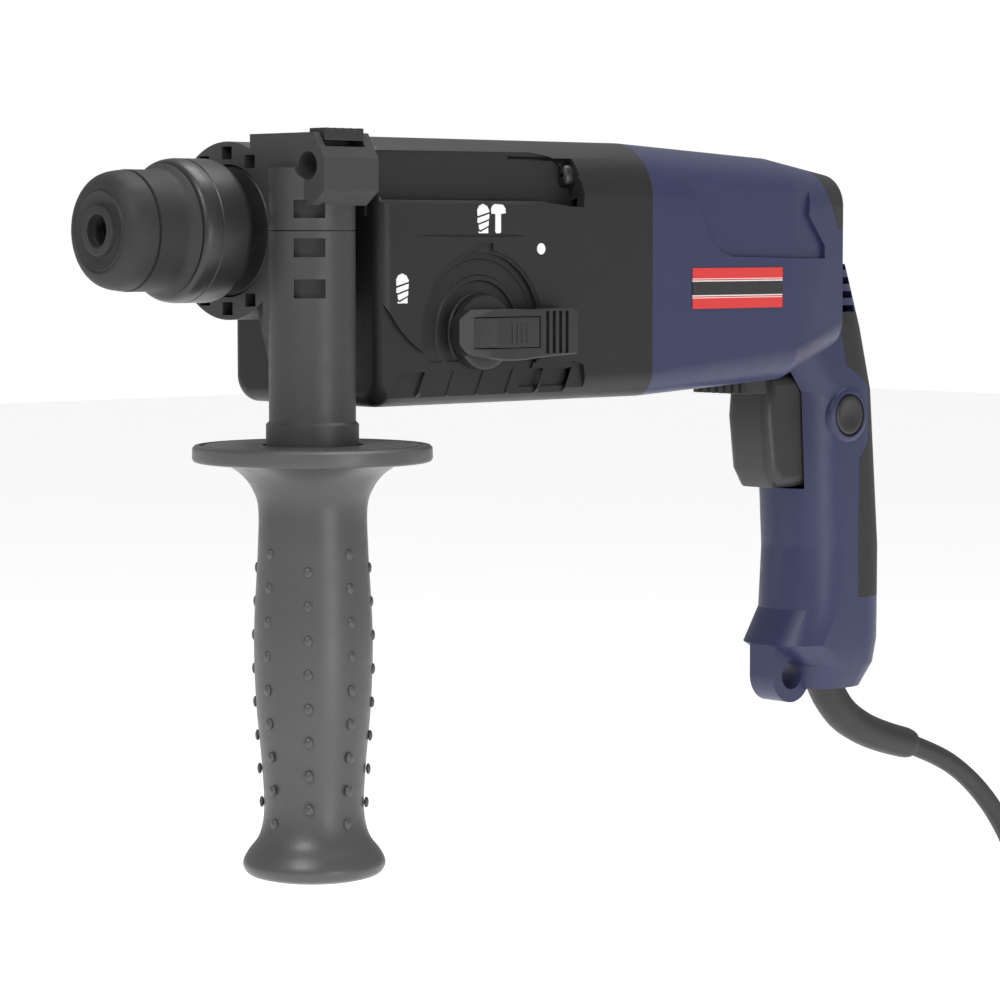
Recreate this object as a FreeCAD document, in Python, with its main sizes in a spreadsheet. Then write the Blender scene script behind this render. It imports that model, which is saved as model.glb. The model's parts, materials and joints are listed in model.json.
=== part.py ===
"""Rotary hammer, 24 mm class, with a swivelling side handle.

Every piece is drawn in tool coordinates: X runs back from the nose along the
spindle, -Y is the side with the mode knob, and Z is measured from the spindle
axis. Each piece is then placed so that the origin is the middle of the rear hand
grip. All lengths are in millimetres.
"""
import FreeCAD, Part
import math
import os
import types

import Sketcher

Vector = FreeCAD.Vector

# ---------------------------------------------------------------- driving sizes
SIZES = {
    # where the tool's own axes stand in the finished frame
    "nose_x": -341.7,
    "spindle_z": 115,
    # clearances
    "gap": 0.3,
    "run_fit": 0.05,
    # spindle and hammer tube
    "shank_bore": 5,
    "spindle_front": 3,
    "nose_radius": 11,
    "nose_end": 44,
    "journal_radius": 12.5,
    "journal_end": 75,
    "tube_radius": 16,
    "tube_bore": 12.5,
    "tube_end": 148,
    "shank_depth": 72,
    "bolt_bore": 7,
    "tube_bore_start": 100,
    "spindle_gear_radius": 25,
    "gear_start": 112,
    "gear_width": 10,
    # chuck
    "cap_length": 26,
    "cap_radius": 19.4,
    "cap_boss_radius": 8.5,
    "sleeve_end": 45.8,
    "sleeve_radius": 23.2,
    "sleeve_wall": 4,
    "ball_radius": 2.9,
    "ball_x": 34,
    # clamping collar and its bearing
    "collar_radius": 21.5,
    "collar_front": 52.9,
    "bearing_outer": 18.5,
    "bearing_front": 56,
    "bearing_width": 13,
    # gear housing
    "body_front": 85,
    "seam_x": 210.3,
    "body_half_width": 38.8,
    "body_top": 31,
    "body_bottom": "=counter_z - counter_gear - 4.5",
    "body_top_radius": 20,
    "body_bottom_radius": 9,
    "body_edge_radius": 5,
    "housing_wall": 3.5,
    "screw_y": 31,
    "screw_top_z": 19,
    "screw_low_z": "=body_bottom + 8",
    "screw_head_radius": 4.2,
    "screw_radius": 2.2,
    "screw_head_x": 172,
    "screw_length": 50,
    "screw_boss": 8.5,
    # gear train
    "counter_z": -35,
    "counter_pinion": 10,
    "counter_shaft": 5,
    "counter_journal": 4,
    "counter_front": 92,
    "counter_end": 206,
    "counter_gear": 18,
    "counter_gear_x": 186,
    "counter_gear_width": 9,
    "wobble_x": 162,
    "wobble_sphere": 13.5,
    "wobble_ring": 18,
    "wobble_width": 10,
    "finger_radius": 3,
    "tooth_relief": 0.15,
    # hammer parts
    "piston_front": 112,
    "piston_back": 170,
    "striker_front": 96,
    # motor
    "motor_z": -13,
    "motor_shaft": 4,
    "motor_front": 184,
    "motor_back": 314,
    "core_start": 228,
    "core_end": 276,
    "core_radius": 21,
    "stator_bore": 22,
    "stator_radius": 35,
    "fan_radius": 32,
    "fan_start": 212,
    "commutator_start": 290,
    "commutator_end": 304,
    "commutator_radius": 12,
    "cage_radius": 23.3,
    "flange_start": 200,
    "flange_width": 9.8,
    "front_race": 10.8,
    "counter_race": 9.5,
    "race_width": 7,
    # motor housing, handle and rear cover
    "shell_wall": 3,
    "pad_depth": 1.5,
    "mid_x": 287,
    "mid_half_width": 37,
    "mid_top": 27,
    "mid_bottom": -54,
    "hip_x": 322,
    "hip_half_width": 28.4,
    "hip_top": 21.5,
    "hip_bottom": -44.5,
    "rear_x": 340,
    "rear_half_width": 11.5,
    "rear_top": 18,
    "rear_bottom": -36,
    "rear_radius": 9,
    "grip_half_width": 18.5,
    "grip_back": 365.2,
    "grip_front": 318.7,
    "base_front": 309.5,
    "base_z": -165,
    "flange_z": "=base_z - 9",
    "eyelet_z": "=base_z - 3",
    "eyelet_hole": 5.5,
    "eyelet_radius": 10.5,
    "eyelet_half_width": 6,
    # controls
    "trigger_front": 299.7,
    "trigger_back": 326,
    "trigger_top": -53,
    "trigger_bottom": -96,
    "trigger_half_width": 10.8,
    "switch_x": 291,
    "pivot_radius": 2.5,
    "button_x": 336.7,
    "button_z": -69,
    "button_radius": 7.75,
    "button_travel": 3,
    "knob_x": 130,
    "knob_z": -33.6,
    "knob_radius": 12.5,
    "dial_radius": 26.5,
    "knob_recess": 2,
    "knob_spigot": 9,
    "lever_back": 36.5,
    "lever_front": 15,
    "lever_half_height": 7.8,
    "lever_rise": 8,
    # side handle
    "post_x": 63.3,
    "post_y": -30,
    "post_radius": 14,
    "ring_front": 52.6,
    "ring_width": 20,
    "ring_radius": 28.9,
    "post_bottom": -69,
    "block_outer": -49,
    "block_top": 31,
    "stop_y": -41,
    "stop_z": 20.5,
    "stop_bore": 4.5,
    "disc_radius": 38.75,
    "disc_top": -68.6,
    "disc_width": 5.5,
    "handle_bottom": -208.7,
    "stud_radius": 4,
    "label_start": 230.7,
    "label_z": -20,
    # mains lead
    "relief_x": 344,
    "relief_root": 6.9,
    "relief_tip": 6,
    "cord_radius": 4,
    "coil_radius": 44,
    "coil_half_width": 12.2,
}


class Size:
    """A length together with the sheet formula that gives it."""

    def __init__(self, value, text):
        self.value = value
        self.text = text

    def combine(self, other, sign, swap=False):
        first, second = as_size(self), as_size(other)
        if swap:
            first, second = second, first
        results = {
            "+": lambda a, b: a + b,
            "-": lambda a, b: a - b,
            "*": lambda a, b: a * b,
            "/": lambda a, b: a / b,
        }
        return Size(results[sign](first.value, second.value),
                    "(%s %s %s)" % (first.text, sign, second.text))

    def __add__(self, other):
        return self.combine(other, "+")

    def __radd__(self, other):
        return self.combine(other, "+", swap=True)

    def __sub__(self, other):
        return self.combine(other, "-")

    def __rsub__(self, other):
        return self.combine(other, "-", swap=True)

    def __mul__(self, other):
        return self.combine(other, "*")

    def __rmul__(self, other):
        return self.combine(other, "*", swap=True)

    def __truediv__(self, other):
        return self.combine(other, "/")

    def __neg__(self):
        return self.combine(-1, "*")

    def __float__(self):
        return float(self.value)


def as_size(item):
    """A plain number joins a formula as a constant."""
    return item if isinstance(item, Size) else Size(float(item), "(%.6g)" % item)


doc = FreeCAD.newDocument("rotary_hammer")
sheet = doc.addObject("Spreadsheet::Sheet", "Sizes")
for row, alias in enumerate(SIZES, start=1):
    sheet.set("A%d" % row, alias)
    sheet.setAlias("B%d" % row, alias)
for row, entry in enumerate(SIZES.values(), start=1):
    sheet.set("B%d" % row, str(entry))
doc.recompute()
size = types.SimpleNamespace(
    **{alias: Size(float(sheet.get(alias)), "Sizes." + alias) for alias in SIZES}
)
nodes = {}


# -------------------------------------------------------------------- small tools
def bind(item, name, length):
    """Set a property to a size and tie it to the sheet."""
    item.setExpression(name, as_size(length).text)


def place(item, x=0, y=0, z=0):
    """Put a piece's own zero at tool coordinates x, y, z of the finished frame."""
    bind(item, "Placement.Base.x", size.nose_x + x)
    bind(item, "Placement.Base.y", as_size(y))
    bind(item, "Placement.Base.z", size.spindle_z + z)


def finish(item, label, x=0, y=0, z=0):
    """Name a finished piece, put it in its place and keep it for export."""
    item.Label = label
    place(item, x, y, z)
    nodes[label] = item
    return item


def origin_plane(body, role):
    return next(item for item in body.Origin.OriginFeatures if item.Role == role)


def new_sketch(body, role, offset=0):
    """A sketch on one of the body's origin planes, moved off it along its normal."""
    sketch = body.newObject("Sketcher::SketchObject", body.Name + "_sketch")
    sketch.AttachmentSupport = [(origin_plane(body, role), "")]
    sketch.MapMode = "FlatFace"
    bind(sketch, "AttachmentOffset.Base.z", as_size(offset))
    return sketch


def pin(sketch, edge, end, point):
    """Hold one end of an edge at a point whose coordinates are sizes."""
    for kind, coordinate in zip(("DistanceX", "DistanceY"), point):
        coordinate = as_size(coordinate)
        index = sketch.addConstraint(
            Sketcher.Constraint(kind, -1, 1, edge, end, float(coordinate)))
        sketch.setExpression("Constraints[%d]" % index, coordinate.text)


def draw_polygon(sketch, points):
    """A closed outline of straight edges."""
    count = len(points)
    for first, second in zip(points, points[1:] + points[:1]):
        sketch.addGeometry(Part.LineSegment(
            Vector(float(first[0]), float(first[1]), 0),
            Vector(float(second[0]), float(second[1]), 0)), False)
    for edge in range(count):
        sketch.addConstraint(Sketcher.Constraint("Coincident", edge, 2, (edge + 1) % count, 1))
    for edge, point in enumerate(points):
        pin(sketch, edge, 1, point)


def draw_rounded(sketch, low, high, radii):
    """A rectangle with round corners: one radius below, one above."""
    low_radius, high_radius = radii
    corners = [
        ((high[0], low[1]), low_radius, (-1, 1), -90),
        ((high[0], high[1]), high_radius, (-1, -1), 0),
        ((low[0], high[1]), high_radius, (1, -1), 90),
        ((low[0], low[1]), low_radius, (1, 1), 180),
    ]
    ends = []
    for (x, y), radius, (side_x, side_y), start in corners:
        centre = (x + side_x * radius, y + side_y * radius)
        angles = (math.radians(start), math.radians(start + 90))
        circle = Part.Circle(Vector(float(centre[0]), float(centre[1]), 0),
                             Vector(0, 0, 1), float(radius))
        arc = sketch.addGeometry(Part.ArcOfCircle(circle, *angles), False)
        before = (centre[0] + radius * round(math.cos(angles[0])),
                  centre[1] + radius * round(math.sin(angles[0])))
        after = (centre[0] + radius * round(math.cos(angles[1])),
                 centre[1] + radius * round(math.sin(angles[1])))
        index = sketch.addConstraint(Sketcher.Constraint("Radius", arc, float(radius)))
        sketch.setExpression("Constraints[%d]" % index, as_size(radius).text)
        ends.append((arc, before, after))
    for (arc, _, start), (next_arc, stop, _) in zip(ends, ends[1:] + ends[:1]):
        line = sketch.addGeometry(Part.LineSegment(
            Vector(float(start[0]), float(start[1]), 0),
            Vector(float(stop[0]), float(stop[1]), 0)), False)
        sketch.addConstraint(Sketcher.Constraint("Coincident", arc, 2, line, 1))
        sketch.addConstraint(Sketcher.Constraint("Coincident", line, 2, next_arc, 1))
        pin(sketch, line, 1, start)
        pin(sketch, line, 2, stop)


def turned(name, outline, axis="X"):
    """A body of revolution about its own X, Y or Z axis through its zero point."""
    role, line = {"X": ("XZ_Plane", "H_Axis"),
                  "Y": ("XY_Plane", "V_Axis"),
                  "Z": ("XZ_Plane", "V_Axis")}[axis]
    body = doc.addObject("PartDesign::Body", name)
    sketch = new_sketch(body, role)
    draw_polygon(sketch, outline if axis == "X" else [(r, s) for s, r in outline])
    revolution = body.newObject("PartDesign::Revolution", name + "_turn")
    revolution.Profile = sketch
    revolution.ReferenceAxis = (sketch, [line])
    revolution.Angle = 360
    return body


def tube(name, start, end, inner, outer):
    """A plain ring along X."""
    return turned(name, [(start, inner), (start, outer), (end, outer), (end, inner)])


def padded(name, role, start, length, draw, *shape):
    """A body padded from one sketch; start and length run along the plane's normal."""
    body = doc.addObject("PartDesign::Body", name)
    sketch = new_sketch(body, role, start)
    draw(sketch, *shape)
    pad = body.newObject("PartDesign::Pad", name + "_pad")
    pad.Profile = sketch
    bind(pad, "Length", as_size(length))
    return body


def side_slab(name, outline, low_y, high_y):
    """A slab between two Y planes with an outline in X and Z."""
    low_y, high_y = as_size(low_y), as_size(high_y)
    return padded(name, "XZ_Plane", -high_y, high_y - low_y, draw_polygon, outline)


def rounded_edges(body, radius, wanted):
    """Round the edges of a body's last feature that pass a test."""
    doc.recompute()
    base = body.Tip
    names = ["Edge%d" % number for number, edge in enumerate(base.Shape.Edges, start=1)
             if wanted(edge)]
    fillet = body.newObject("PartDesign::Fillet", body.Name + "_round")
    fillet.Base = (base, names)
    bind(fillet, "Radius", radius)
    return body


def lofted(name, role, stations):
    """A smooth body through rounded rectangles: (offset, low, high, radii)."""
    body = doc.addObject("PartDesign::Body", name)
    sketches = []
    for offset, low, high, radii in stations:
        sketch = new_sketch(body, role, offset)
        draw_rounded(sketch, low, high, radii)
        sketches.append(sketch)
    loft = body.newObject("PartDesign::AdditiveLoft", name + "_loft")
    loft.Profile = sketches[0]
    loft.Sections = sketches[1:]
    loft.Ruled = True
    return body


def box(name, low, high):
    """A box between two corners."""
    item = doc.addObject("Part::Box", name)
    for side, letter, first, last in zip(("Length", "Width", "Height"), "xyz", low, high):
        bind(item, side, as_size(last) - first)
        bind(item, "Placement.Base." + letter, as_size(first))
    return item


def rod(name, start, length, radius, axis="X"):
    """A cylinder from a point along +X, +Y or +Z."""
    item = doc.addObject("Part::Cylinder", name)
    bind(item, "Radius", as_size(radius))
    bind(item, "Height", as_size(length))
    turn = {"X": FreeCAD.Rotation(Vector(0, 1, 0), 90),
            "Y": FreeCAD.Rotation(Vector(1, 0, 0), -90),
            "Z": FreeCAD.Rotation()}[axis]
    item.Placement = FreeCAD.Placement(Vector(), turn)
    for letter, first in zip("xyz", start):
        bind(item, "Placement.Base." + letter, as_size(first))
    return item


def ball(name, centre, radius):
    item = doc.addObject("Part::Sphere", name)
    bind(item, "Radius", as_size(radius))
    for letter, first in zip("xyz", centre):
        bind(item, "Placement.Base." + letter, as_size(first))
    return item


def fused(name, items):
    if len(items) == 1:
        return items[0]
    item = doc.addObject("Part::MultiFuse", name)
    item.Shapes = items
    return item


def grouped(name, items):
    """Separate solids kept side by side in one node."""
    item = doc.addObject("Part::Compound", name)
    item.Links = items
    return item


def cut(name, base, tools):
    item = doc.addObject("Part::Cut", name)
    item.Base = base
    item.Tool = fused(name + "_tools", tools)
    return item


def common(name, first, second):
    item = doc.addObject("Part::Common", name)
    item.Base = first
    item.Tool = second
    return item


# ------------------------------------------------------------- spindle and chuck
def make_spindle():
    """Tool holder and hammer tube in one turned piece, with its gear and balls."""
    blank = turned("spindle_blank", [
        (size.spindle_front, size.shank_bore),
        (size.spindle_front, size.nose_radius),
        (size.nose_end, size.nose_radius),
        (size.nose_end, size.journal_radius),
        (size.journal_end, size.journal_radius),
        (size.journal_end, size.tube_radius),
        (size.tube_end, size.tube_radius),
        (size.tube_end, size.tube_bore),
        (size.tube_bore_start, size.tube_bore),
        (size.tube_bore_start, size.bolt_bore),
        (size.shank_depth, size.bolt_bore),
        (size.shank_depth, size.shank_bore),
    ])
    pocket = size.ball_radius + size.run_fit
    hole = rod("ball_hole", (size.ball_x, -size.nose_radius - 1, 0),
               2 * size.nose_radius + 2, pocket, "Y")
    finish(cut("spindle", blank, [hole]), "spindle")

    reach = size.shank_bore + size.ball_radius + 0.15
    balls = [ball("ball_%d" % side, (size.ball_x, side * reach, 0), size.ball_radius)
             for side in (-1, 1)]
    finish(grouped("locking_balls", balls), "locking_balls")
    retainer = tube("ball_retainer", size.ball_x - 4, size.ball_x + 4,
                    size.nose_radius, size.nose_radius + 3)
    finish(retainer, "ball_retainer")
    finish(tube("spring_seat", size.nose_end - 1.7, size.nose_end - 0.2, size.nose_radius,
                size.sleeve_radius - size.sleeve_wall - 0.8), "spring_seat")
    finish(toothed_wheel("spindle_gear", size.gear_start, size.gear_width,
                         size.tube_radius, size.spindle_gear_radius, 50), "spindle_gear")


def toothed_wheel(name, start, width, bore, pitch_radius, teeth):
    """A spur gear whose tips stop just short of its pitch circle, so that a
    mating wheel never meets them; the gaps between teeth are cut as slots."""
    tip = pitch_radius - size.tooth_relief
    blank = tube(name + "_blank", start, start + width, bore, tip)
    depth = 1.3
    slot = box(name + "_slot", (start - 1, -0.75, tip - depth), (start + width + 1, 0.75, tip + 1))
    doc.recompute()
    slots = []
    for number in range(teeth):
        copy = slot.Shape.copy()
        copy.rotate(Vector(), Vector(1, 0, 0), 360 / teeth * number)
        slots.append(copy)
    comb = doc.addObject("Part::Feature", name + "_comb")
    comb.Shape = Part.makeCompound(slots)
    return cut(name, blank, [comb])


def make_chuck():
    """Rubber dust cap, locking sleeve and the spring behind its shoulder."""
    cap = turned("dust_cap", [
        (0, size.shank_bore + 0.4),
        (0, size.cap_boss_radius - 0.6),
        (0.6, size.cap_boss_radius),
        (2.2, size.cap_boss_radius + 0.6),
        (2.2, size.cap_radius - 6.4),
        (1, size.cap_radius - 5.4),
        (1.2, size.cap_radius - 4.2),
        (3.6, size.cap_radius - 1.6),
        (6.5, size.cap_radius - 0.4),
        (10.6, size.cap_radius - 0.2),
        (11.2, size.cap_radius - 0.8),
        (11.8, size.cap_radius),
        (size.cap_length - 3, size.cap_radius),
        (size.cap_length, size.cap_radius + 2.1),
        (size.cap_length, size.nose_radius),
        (size.spindle_front, size.nose_radius),
        (size.spindle_front, size.shank_bore + 0.4),
    ])
    finish(cap, "dust_cap")

    start = size.cap_length + size.gap
    bore = size.sleeve_radius - size.sleeve_wall
    guide = size.journal_radius + size.run_fit
    sleeve = turned("locking_sleeve", [
        (start, size.nose_radius + 3.4),
        (start, size.sleeve_radius - 1.2),
        (start + 1.2, size.sleeve_radius - 0.3),
        (start + 5, size.sleeve_radius),
        (size.sleeve_end - 2.2, size.sleeve_radius),
        (size.sleeve_end, size.sleeve_radius - 2),
        (size.sleeve_end, guide),
        (size.sleeve_end - 1.5, guide),
        (size.sleeve_end - 1.5, bore),
        (start + 3, bore),
        (start + 3, size.nose_radius + 3.4),
    ])
    finish(sleeve, "locking_sleeve")

    wire = 0.8
    middle = (size.nose_radius + 3 + bore) / 2
    first = start + 3 + wire
    pitch = (size.nose_end - 1.7 - wire - first) / 3
    rings = []
    for number in range(4):
        ring = doc.addObject("Part::Torus", "spring_ring_%d" % number)
        bind(ring, "Radius1", middle)
        bind(ring, "Radius2", as_size(wire))
        ring.Placement = FreeCAD.Placement(Vector(), FreeCAD.Rotation(Vector(0, 1, 0), 90))
        bind(ring, "Placement.Base.x", first + pitch * number)
        rings.append(ring)
    for number in range(3):
        side = 1 - 2 * (number % 2)
        rings.append(rod("spring_link_%d" % number, (first + pitch * number, 0, middle * side),
                         pitch, wire - 0.1))
    finish(fused("sleeve_spring", rings), "sleeve_spring")


def make_bearings():
    """Plain and ball bearings and the front seal: rings that the shafts turn in."""
    journal = size.journal_radius + size.run_fit
    finish(tube("front_seal", size.collar_front + 0.3, size.bearing_front,
                journal, size.bearing_outer), "front_seal")
    finish(tube("spindle_front_bearing", size.bearing_front,
                size.bearing_front + size.bearing_width, journal, size.bearing_outer),
           "spindle_front_bearing")
    finish(tube("spindle_rear_bearing", size.tube_end - 11, size.tube_end - 2,
                size.tube_radius + size.run_fit, size.tube_radius + 4),
           "spindle_rear_bearing")
    races = [
        ("counter_front_bearing", size.counter_front, size.counter_journal,
         size.counter_race, size.counter_z),
        ("counter_rear_bearing", size.flange_start, size.counter_journal,
         size.counter_race, size.counter_z),
        ("motor_front_bearing", size.flange_start, size.motor_shaft,
         size.front_race, size.motor_z),
        ("motor_rear_bearing", size.motor_back - size.race_width, size.motor_shaft,
         size.front_race - 1.3, size.motor_z),
    ]
    for name, start, shaft, outer, height in races:
        finish(ball_race(name, start, shaft + size.run_fit, outer), name, z=height)


def ball_race(name, start, inner, outer):
    """A shielded ball bearing: its shields sit a little below both faces."""
    end = start + size.race_width
    return turned(name, [
        (start, inner), (start, inner + 1.5), (start + 0.4, inner + 1.5),
        (start + 0.4, outer - 1.2), (start, outer - 1.2), (start, outer),
        (end, outer), (end, outer - 1.2), (end - 0.4, outer - 1.2),
        (end - 0.4, inner + 1.5), (end, inner + 1.5), (end, inner),
    ])


# -------------------------------------------------------------- hammer mechanism
def make_hammer():
    """Piston, striker with its ring, and impact bolt, one behind the other."""
    slide = size.tube_bore - size.run_fit
    cup = turned("piston_cup", [
        (size.piston_front, slide - 1.8),
        (size.piston_front, slide),
        (size.tube_end + 4, slide),
        (size.tube_end + 4, 0),
        (size.tube_end - 4, 0),
        (size.tube_end - 4, slide - 1.8),
    ])
    lug = box("piston_lug", (size.tube_end + 3, -8, -7), (size.piston_back, 8, 7))
    slot = rod("piston_eye", (size.wobble_x, 0, -8), 16, size.finger_radius + 2.4, "Z")
    finish(cut("piston", fused("piston_blank", [cup, lug]), [slot]), "piston")

    head = slide - 1.8 - size.run_fit
    striker = turned("striker", [
        (size.striker_front + 7, 0),
        (size.striker_front + 7, 5.5),
        (size.piston_front + 6, 5.5),
        (size.piston_front + 6, head),
        (size.piston_front + 9, head),
        (size.piston_front + 9, head - 1.6),
        (size.piston_front + 11.4, head - 1.6),
        (size.piston_front + 11.4, head),
        (size.piston_front + 18, head),
        (size.piston_front + 18, 0),
    ])
    finish(striker, "striker")
    finish(tube("striker_ring", size.piston_front + 9.1, size.piston_front + 11.3,
                head - 1.6, head), "striker_ring")

    guide = size.bolt_bore - size.run_fit
    bolt = turned("impact_bolt", [
        (size.shank_depth + 2, 0),
        (size.shank_depth + 2, guide - 1.6),
        (size.shank_depth + 5, guide),
        (size.tube_bore_start - 3, guide),
        (size.tube_bore_start - 1, guide - 2.5),
        (size.tube_bore_start - 1, 0),
    ])
    finish(bolt, "impact_bolt")


def make_counter_shaft():
    """The shaft between motor and spindle, with the parts that ride on it."""
    shaft, journal = size.counter_shaft, size.counter_journal
    blank = turned("counter_blank", [
        (size.counter_front, 0),
        (size.counter_front, journal),
        (size.counter_front + size.race_width + 1, journal),
        (size.counter_front + size.race_width + 1, shaft),
        (size.flange_start - 1, shaft),
        (size.flange_start - 1, journal),
        (size.counter_end, journal),
        (size.counter_end, 0),
    ])
    pinion = toothed_wheel("counter_pinion", size.gear_start, size.gear_width,
                           shaft - 0.5, size.counter_pinion, 20)
    finish(fused("counter_shaft", [blank, pinion]), "counter_shaft", z=size.counter_z)
    finish(toothed_wheel("counter_gear", size.counter_gear_x, size.counter_gear_width,
                         shaft, size.counter_gear, 36), "counter_gear", z=size.counter_z)
    finish(tube("clutch_sleeve", 132, 141, shaft + size.run_fit, 9.5),
           "clutch_sleeve", z=size.counter_z)

    half = size.wobble_width / 2
    hub_ball = ball("hub_ball", (size.wobble_x, 0, 0), size.wobble_sphere)
    hub_band = tube("hub_band", size.wobble_x - half - 2, size.wobble_x + half + 2,
                    shaft, size.wobble_sphere + 1)
    finish(common("wobble_hub", hub_ball, hub_band), "wobble_hub", z=size.counter_z)

    ring = tube("finger_ring", size.wobble_x - half, size.wobble_x + half,
                shaft + 4, size.wobble_ring)
    seat = ball("ring_seat", (size.wobble_x, 0, 0), size.wobble_sphere + size.run_fit)
    stem_length = -size.counter_z - size.wobble_ring + 1
    stem = rod("finger_stem", (size.wobble_x, 0, size.wobble_ring - 1), stem_length,
               size.finger_radius, "Z")
    tip = ball("finger_tip", (size.wobble_x, 0, -size.counter_z), size.finger_radius + 1)
    guides = [rod("finger_guide_%d" % side,
                  (size.wobble_x, side * (size.wobble_ring + 0.5) - 1.5, 0), 3,
                  size.finger_radius, "Y") for side in (-1, 1)]
    arm = fused("finger_arm", [cut("finger_eye", ring, [seat]), stem, tip] + guides)
    finish(arm, "wobble_finger", z=size.counter_z)


# -------------------------------------------------------------------------- motor
def make_armature():
    """Shaft with its pinion, lamination stack with windings, commutator and fan."""
    shaft = size.motor_shaft
    finish(turned("motor_shaft", [
        (size.motor_front, 0),
        (size.motor_front, shaft - size.tooth_relief),
        (size.flange_start - 2, shaft - size.tooth_relief),
        (size.flange_start - 1, shaft),
        (size.motor_back, shaft),
        (size.motor_back, 0),
    ]), "motor_shaft", z=size.motor_z)
    finish(turned("armature_core", [
        (size.core_start - 8, shaft),
        (size.core_start - 8, size.core_radius - 6),
        (size.core_start, size.core_radius - 3),
        (size.core_start, size.core_radius),
        (size.core_end, size.core_radius),
        (size.core_end, size.core_radius - 3),
        (size.core_end + 9, size.core_radius - 7),
        (size.core_end + 9, shaft),
    ]), "armature_core", z=size.motor_z)
    finish(tube("commutator", size.commutator_start, size.commutator_end,
                shaft, size.commutator_radius), "commutator", z=size.motor_z)

    disc = tube("fan_disc", size.fan_start, size.fan_start + 1.6, shaft, size.fan_radius)
    hub = tube("fan_hub", size.fan_start, size.fan_start + 7, shaft, shaft + 5)
    blade = box("fan_blade", (size.fan_start + 1, -0.8, shaft + 7),
                (size.fan_start + 7, 0.8, size.fan_radius - 0.4))
    doc.recompute()
    blades = []
    for number in range(16):
        copy = blade.Shape.copy()
        copy.rotate(Vector(), Vector(1, 0, 0), 22.5 * number)
        blades.append(copy)
    ring = doc.addObject("Part::Feature", "fan_blades")
    ring.Shape = Part.makeCompound(blades)
    finish(fused("cooling_fan", [disc, hub, ring]), "cooling_fan", z=size.motor_z)


def make_field():
    """The still half of the motor: stator, its coils, brushes and their holders."""
    ring = tube("stator_ring", size.core_start, size.core_end,
                size.stator_bore, size.stator_radius)
    slots = [box("stator_slot_%d" % side,
                 (size.core_start - 1, -9, side * 28 - 3), (size.core_end + 1, 9, side * 28 + 3))
             for side in (-1, 1)]
    finish(cut("stator_core", ring, slots), "stator_core", z=size.motor_z)
    coils = [tube("coil_%d" % number, start, start + 6, size.stator_bore + 3,
                  size.stator_radius - 3)
             for number, start in enumerate((size.core_start - 6.2, size.core_end + 0.2))]
    finish(grouped("field_coils", coils), "field_coils", z=size.motor_z)

    middle = (size.commutator_start + size.commutator_end) / 2
    face = size.commutator_radius + size.run_fit
    brushes, holders = [], []
    for side, name in ((-1, "left"), (1, "right")):
        near, far = side * face, side * (face + 8)
        low, high = (far, near) if side < 0 else (near, far)
        brushes.append(box("brush_" + name, (middle - 3, low, -4), (middle + 3, high, 4)))
        start, stop = side * (face + 3), side * (face + 10.5)
        low, high = (stop, start) if side < 0 else (start, stop)
        outer = box("holder_" + name, (middle - 5, low, -6), (middle + 5, high, 6))
        inner = box("holder_bore_" + name, (middle - 3.05, low - 1, -4.05),
                    (middle + 3.05, high + 1, 4.05))
        holders.append(cut("holder_cut_" + name, outer, [inner]))
    finish(grouped("carbon_brushes", brushes), "carbon_brushes", z=size.motor_z)
    finish(grouped("brush_holders", holders), "brush_holders", z=size.motor_z)


# ------------------------------------------------------------------------ housings
def body_section(inset):
    """Corners and radii of the gear housing's cross-section, drawn in by an inset."""
    half = size.body_half_width - inset
    return ((-half, size.body_bottom + inset), (half, size.body_top - inset),
            (size.body_bottom_radius - inset, size.body_top_radius - inset))


def corner_rods(name, start, length, radius):
    """Four rods along X at the housing screws."""
    return [rod("%s_%d" % (name, number), (start, y, z), length, radius)
            for number, (y, z) in enumerate(
                ((-size.screw_y, size.screw_top_z), (size.screw_y, size.screw_top_z),
                 (-size.screw_y, size.screw_low_z), (size.screw_y, size.screw_low_z)))]


def make_gear_housing():
    """The black front housing: clamping collar, gear space and four screw bosses."""
    depth = size.seam_x - size.body_front
    block = padded("gear_block", "YZ_Plane", size.body_front, depth,
                   draw_rounded, *body_section(0))

    def front_edge(edge):
        return abs(edge.BoundBox.XMax - float(size.body_front)) < 0.01

    rounded_edges(block, size.body_edge_radius, front_edge)
    neck = turned("gear_neck", [
        (size.collar_front, 0),
        (size.collar_front, size.collar_radius - 1),
        (size.collar_front + 1, size.collar_radius),
        (size.body_front - 6, size.collar_radius),
        (size.body_front + 3, size.collar_radius + 5),
        (size.body_front + 3, 0),
    ])
    low, high, radii = body_section(size.housing_wall)
    floor = size.body_front + size.housing_wall
    cavity = padded("gear_space", "YZ_Plane", floor, size.seam_x - floor + 1,
                    draw_rounded, low, high, radii)
    bosses = corner_rods("screw_boss", size.screw_head_x - 34, 62, size.screw_boss)
    hollow = cut("gear_hollow", cavity, bosses)
    race = size.counter_race
    socket_end = size.counter_front + size.race_width
    socket = tube("counter_socket_wall", floor - 1, socket_end, race, race + 3)
    bind(socket, "Placement.Base.z", size.counter_z)
    tools = [hollow]
    tools.append(turned("collar_bore", [
        (size.collar_front - 1, 0),
        (size.collar_front - 1, size.journal_radius + 1.5),
        (size.collar_front + 0.3, size.journal_radius + 1.5),
        (size.collar_front + 0.3, size.bearing_outer),
        (floor + 1, size.bearing_outer),
        (floor + 1, 0),
    ]))
    tools.append(rod("knob_recess", (size.knob_x, -size.body_half_width - 5, size.knob_z),
                     5 + size.knob_recess, size.dial_radius, "Y"))
    tools.append(rod("knob_bore", (size.knob_x, -size.body_half_width - 1, size.knob_z),
                     10, size.knob_spigot + size.run_fit, "Y"))
    tools += corner_rods("screw_scoop", size.screw_head_x - 24, 28, size.screw_head_radius + 2)
    tools += corner_rods("screw_way", size.screw_head_x, 40, size.screw_radius + 0.2)
    shell = cut("gear_shell", fused("gear_outer", [block, neck]), tools)
    finish(fused("gear_housing", [shell, socket]), "gear_housing")


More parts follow.
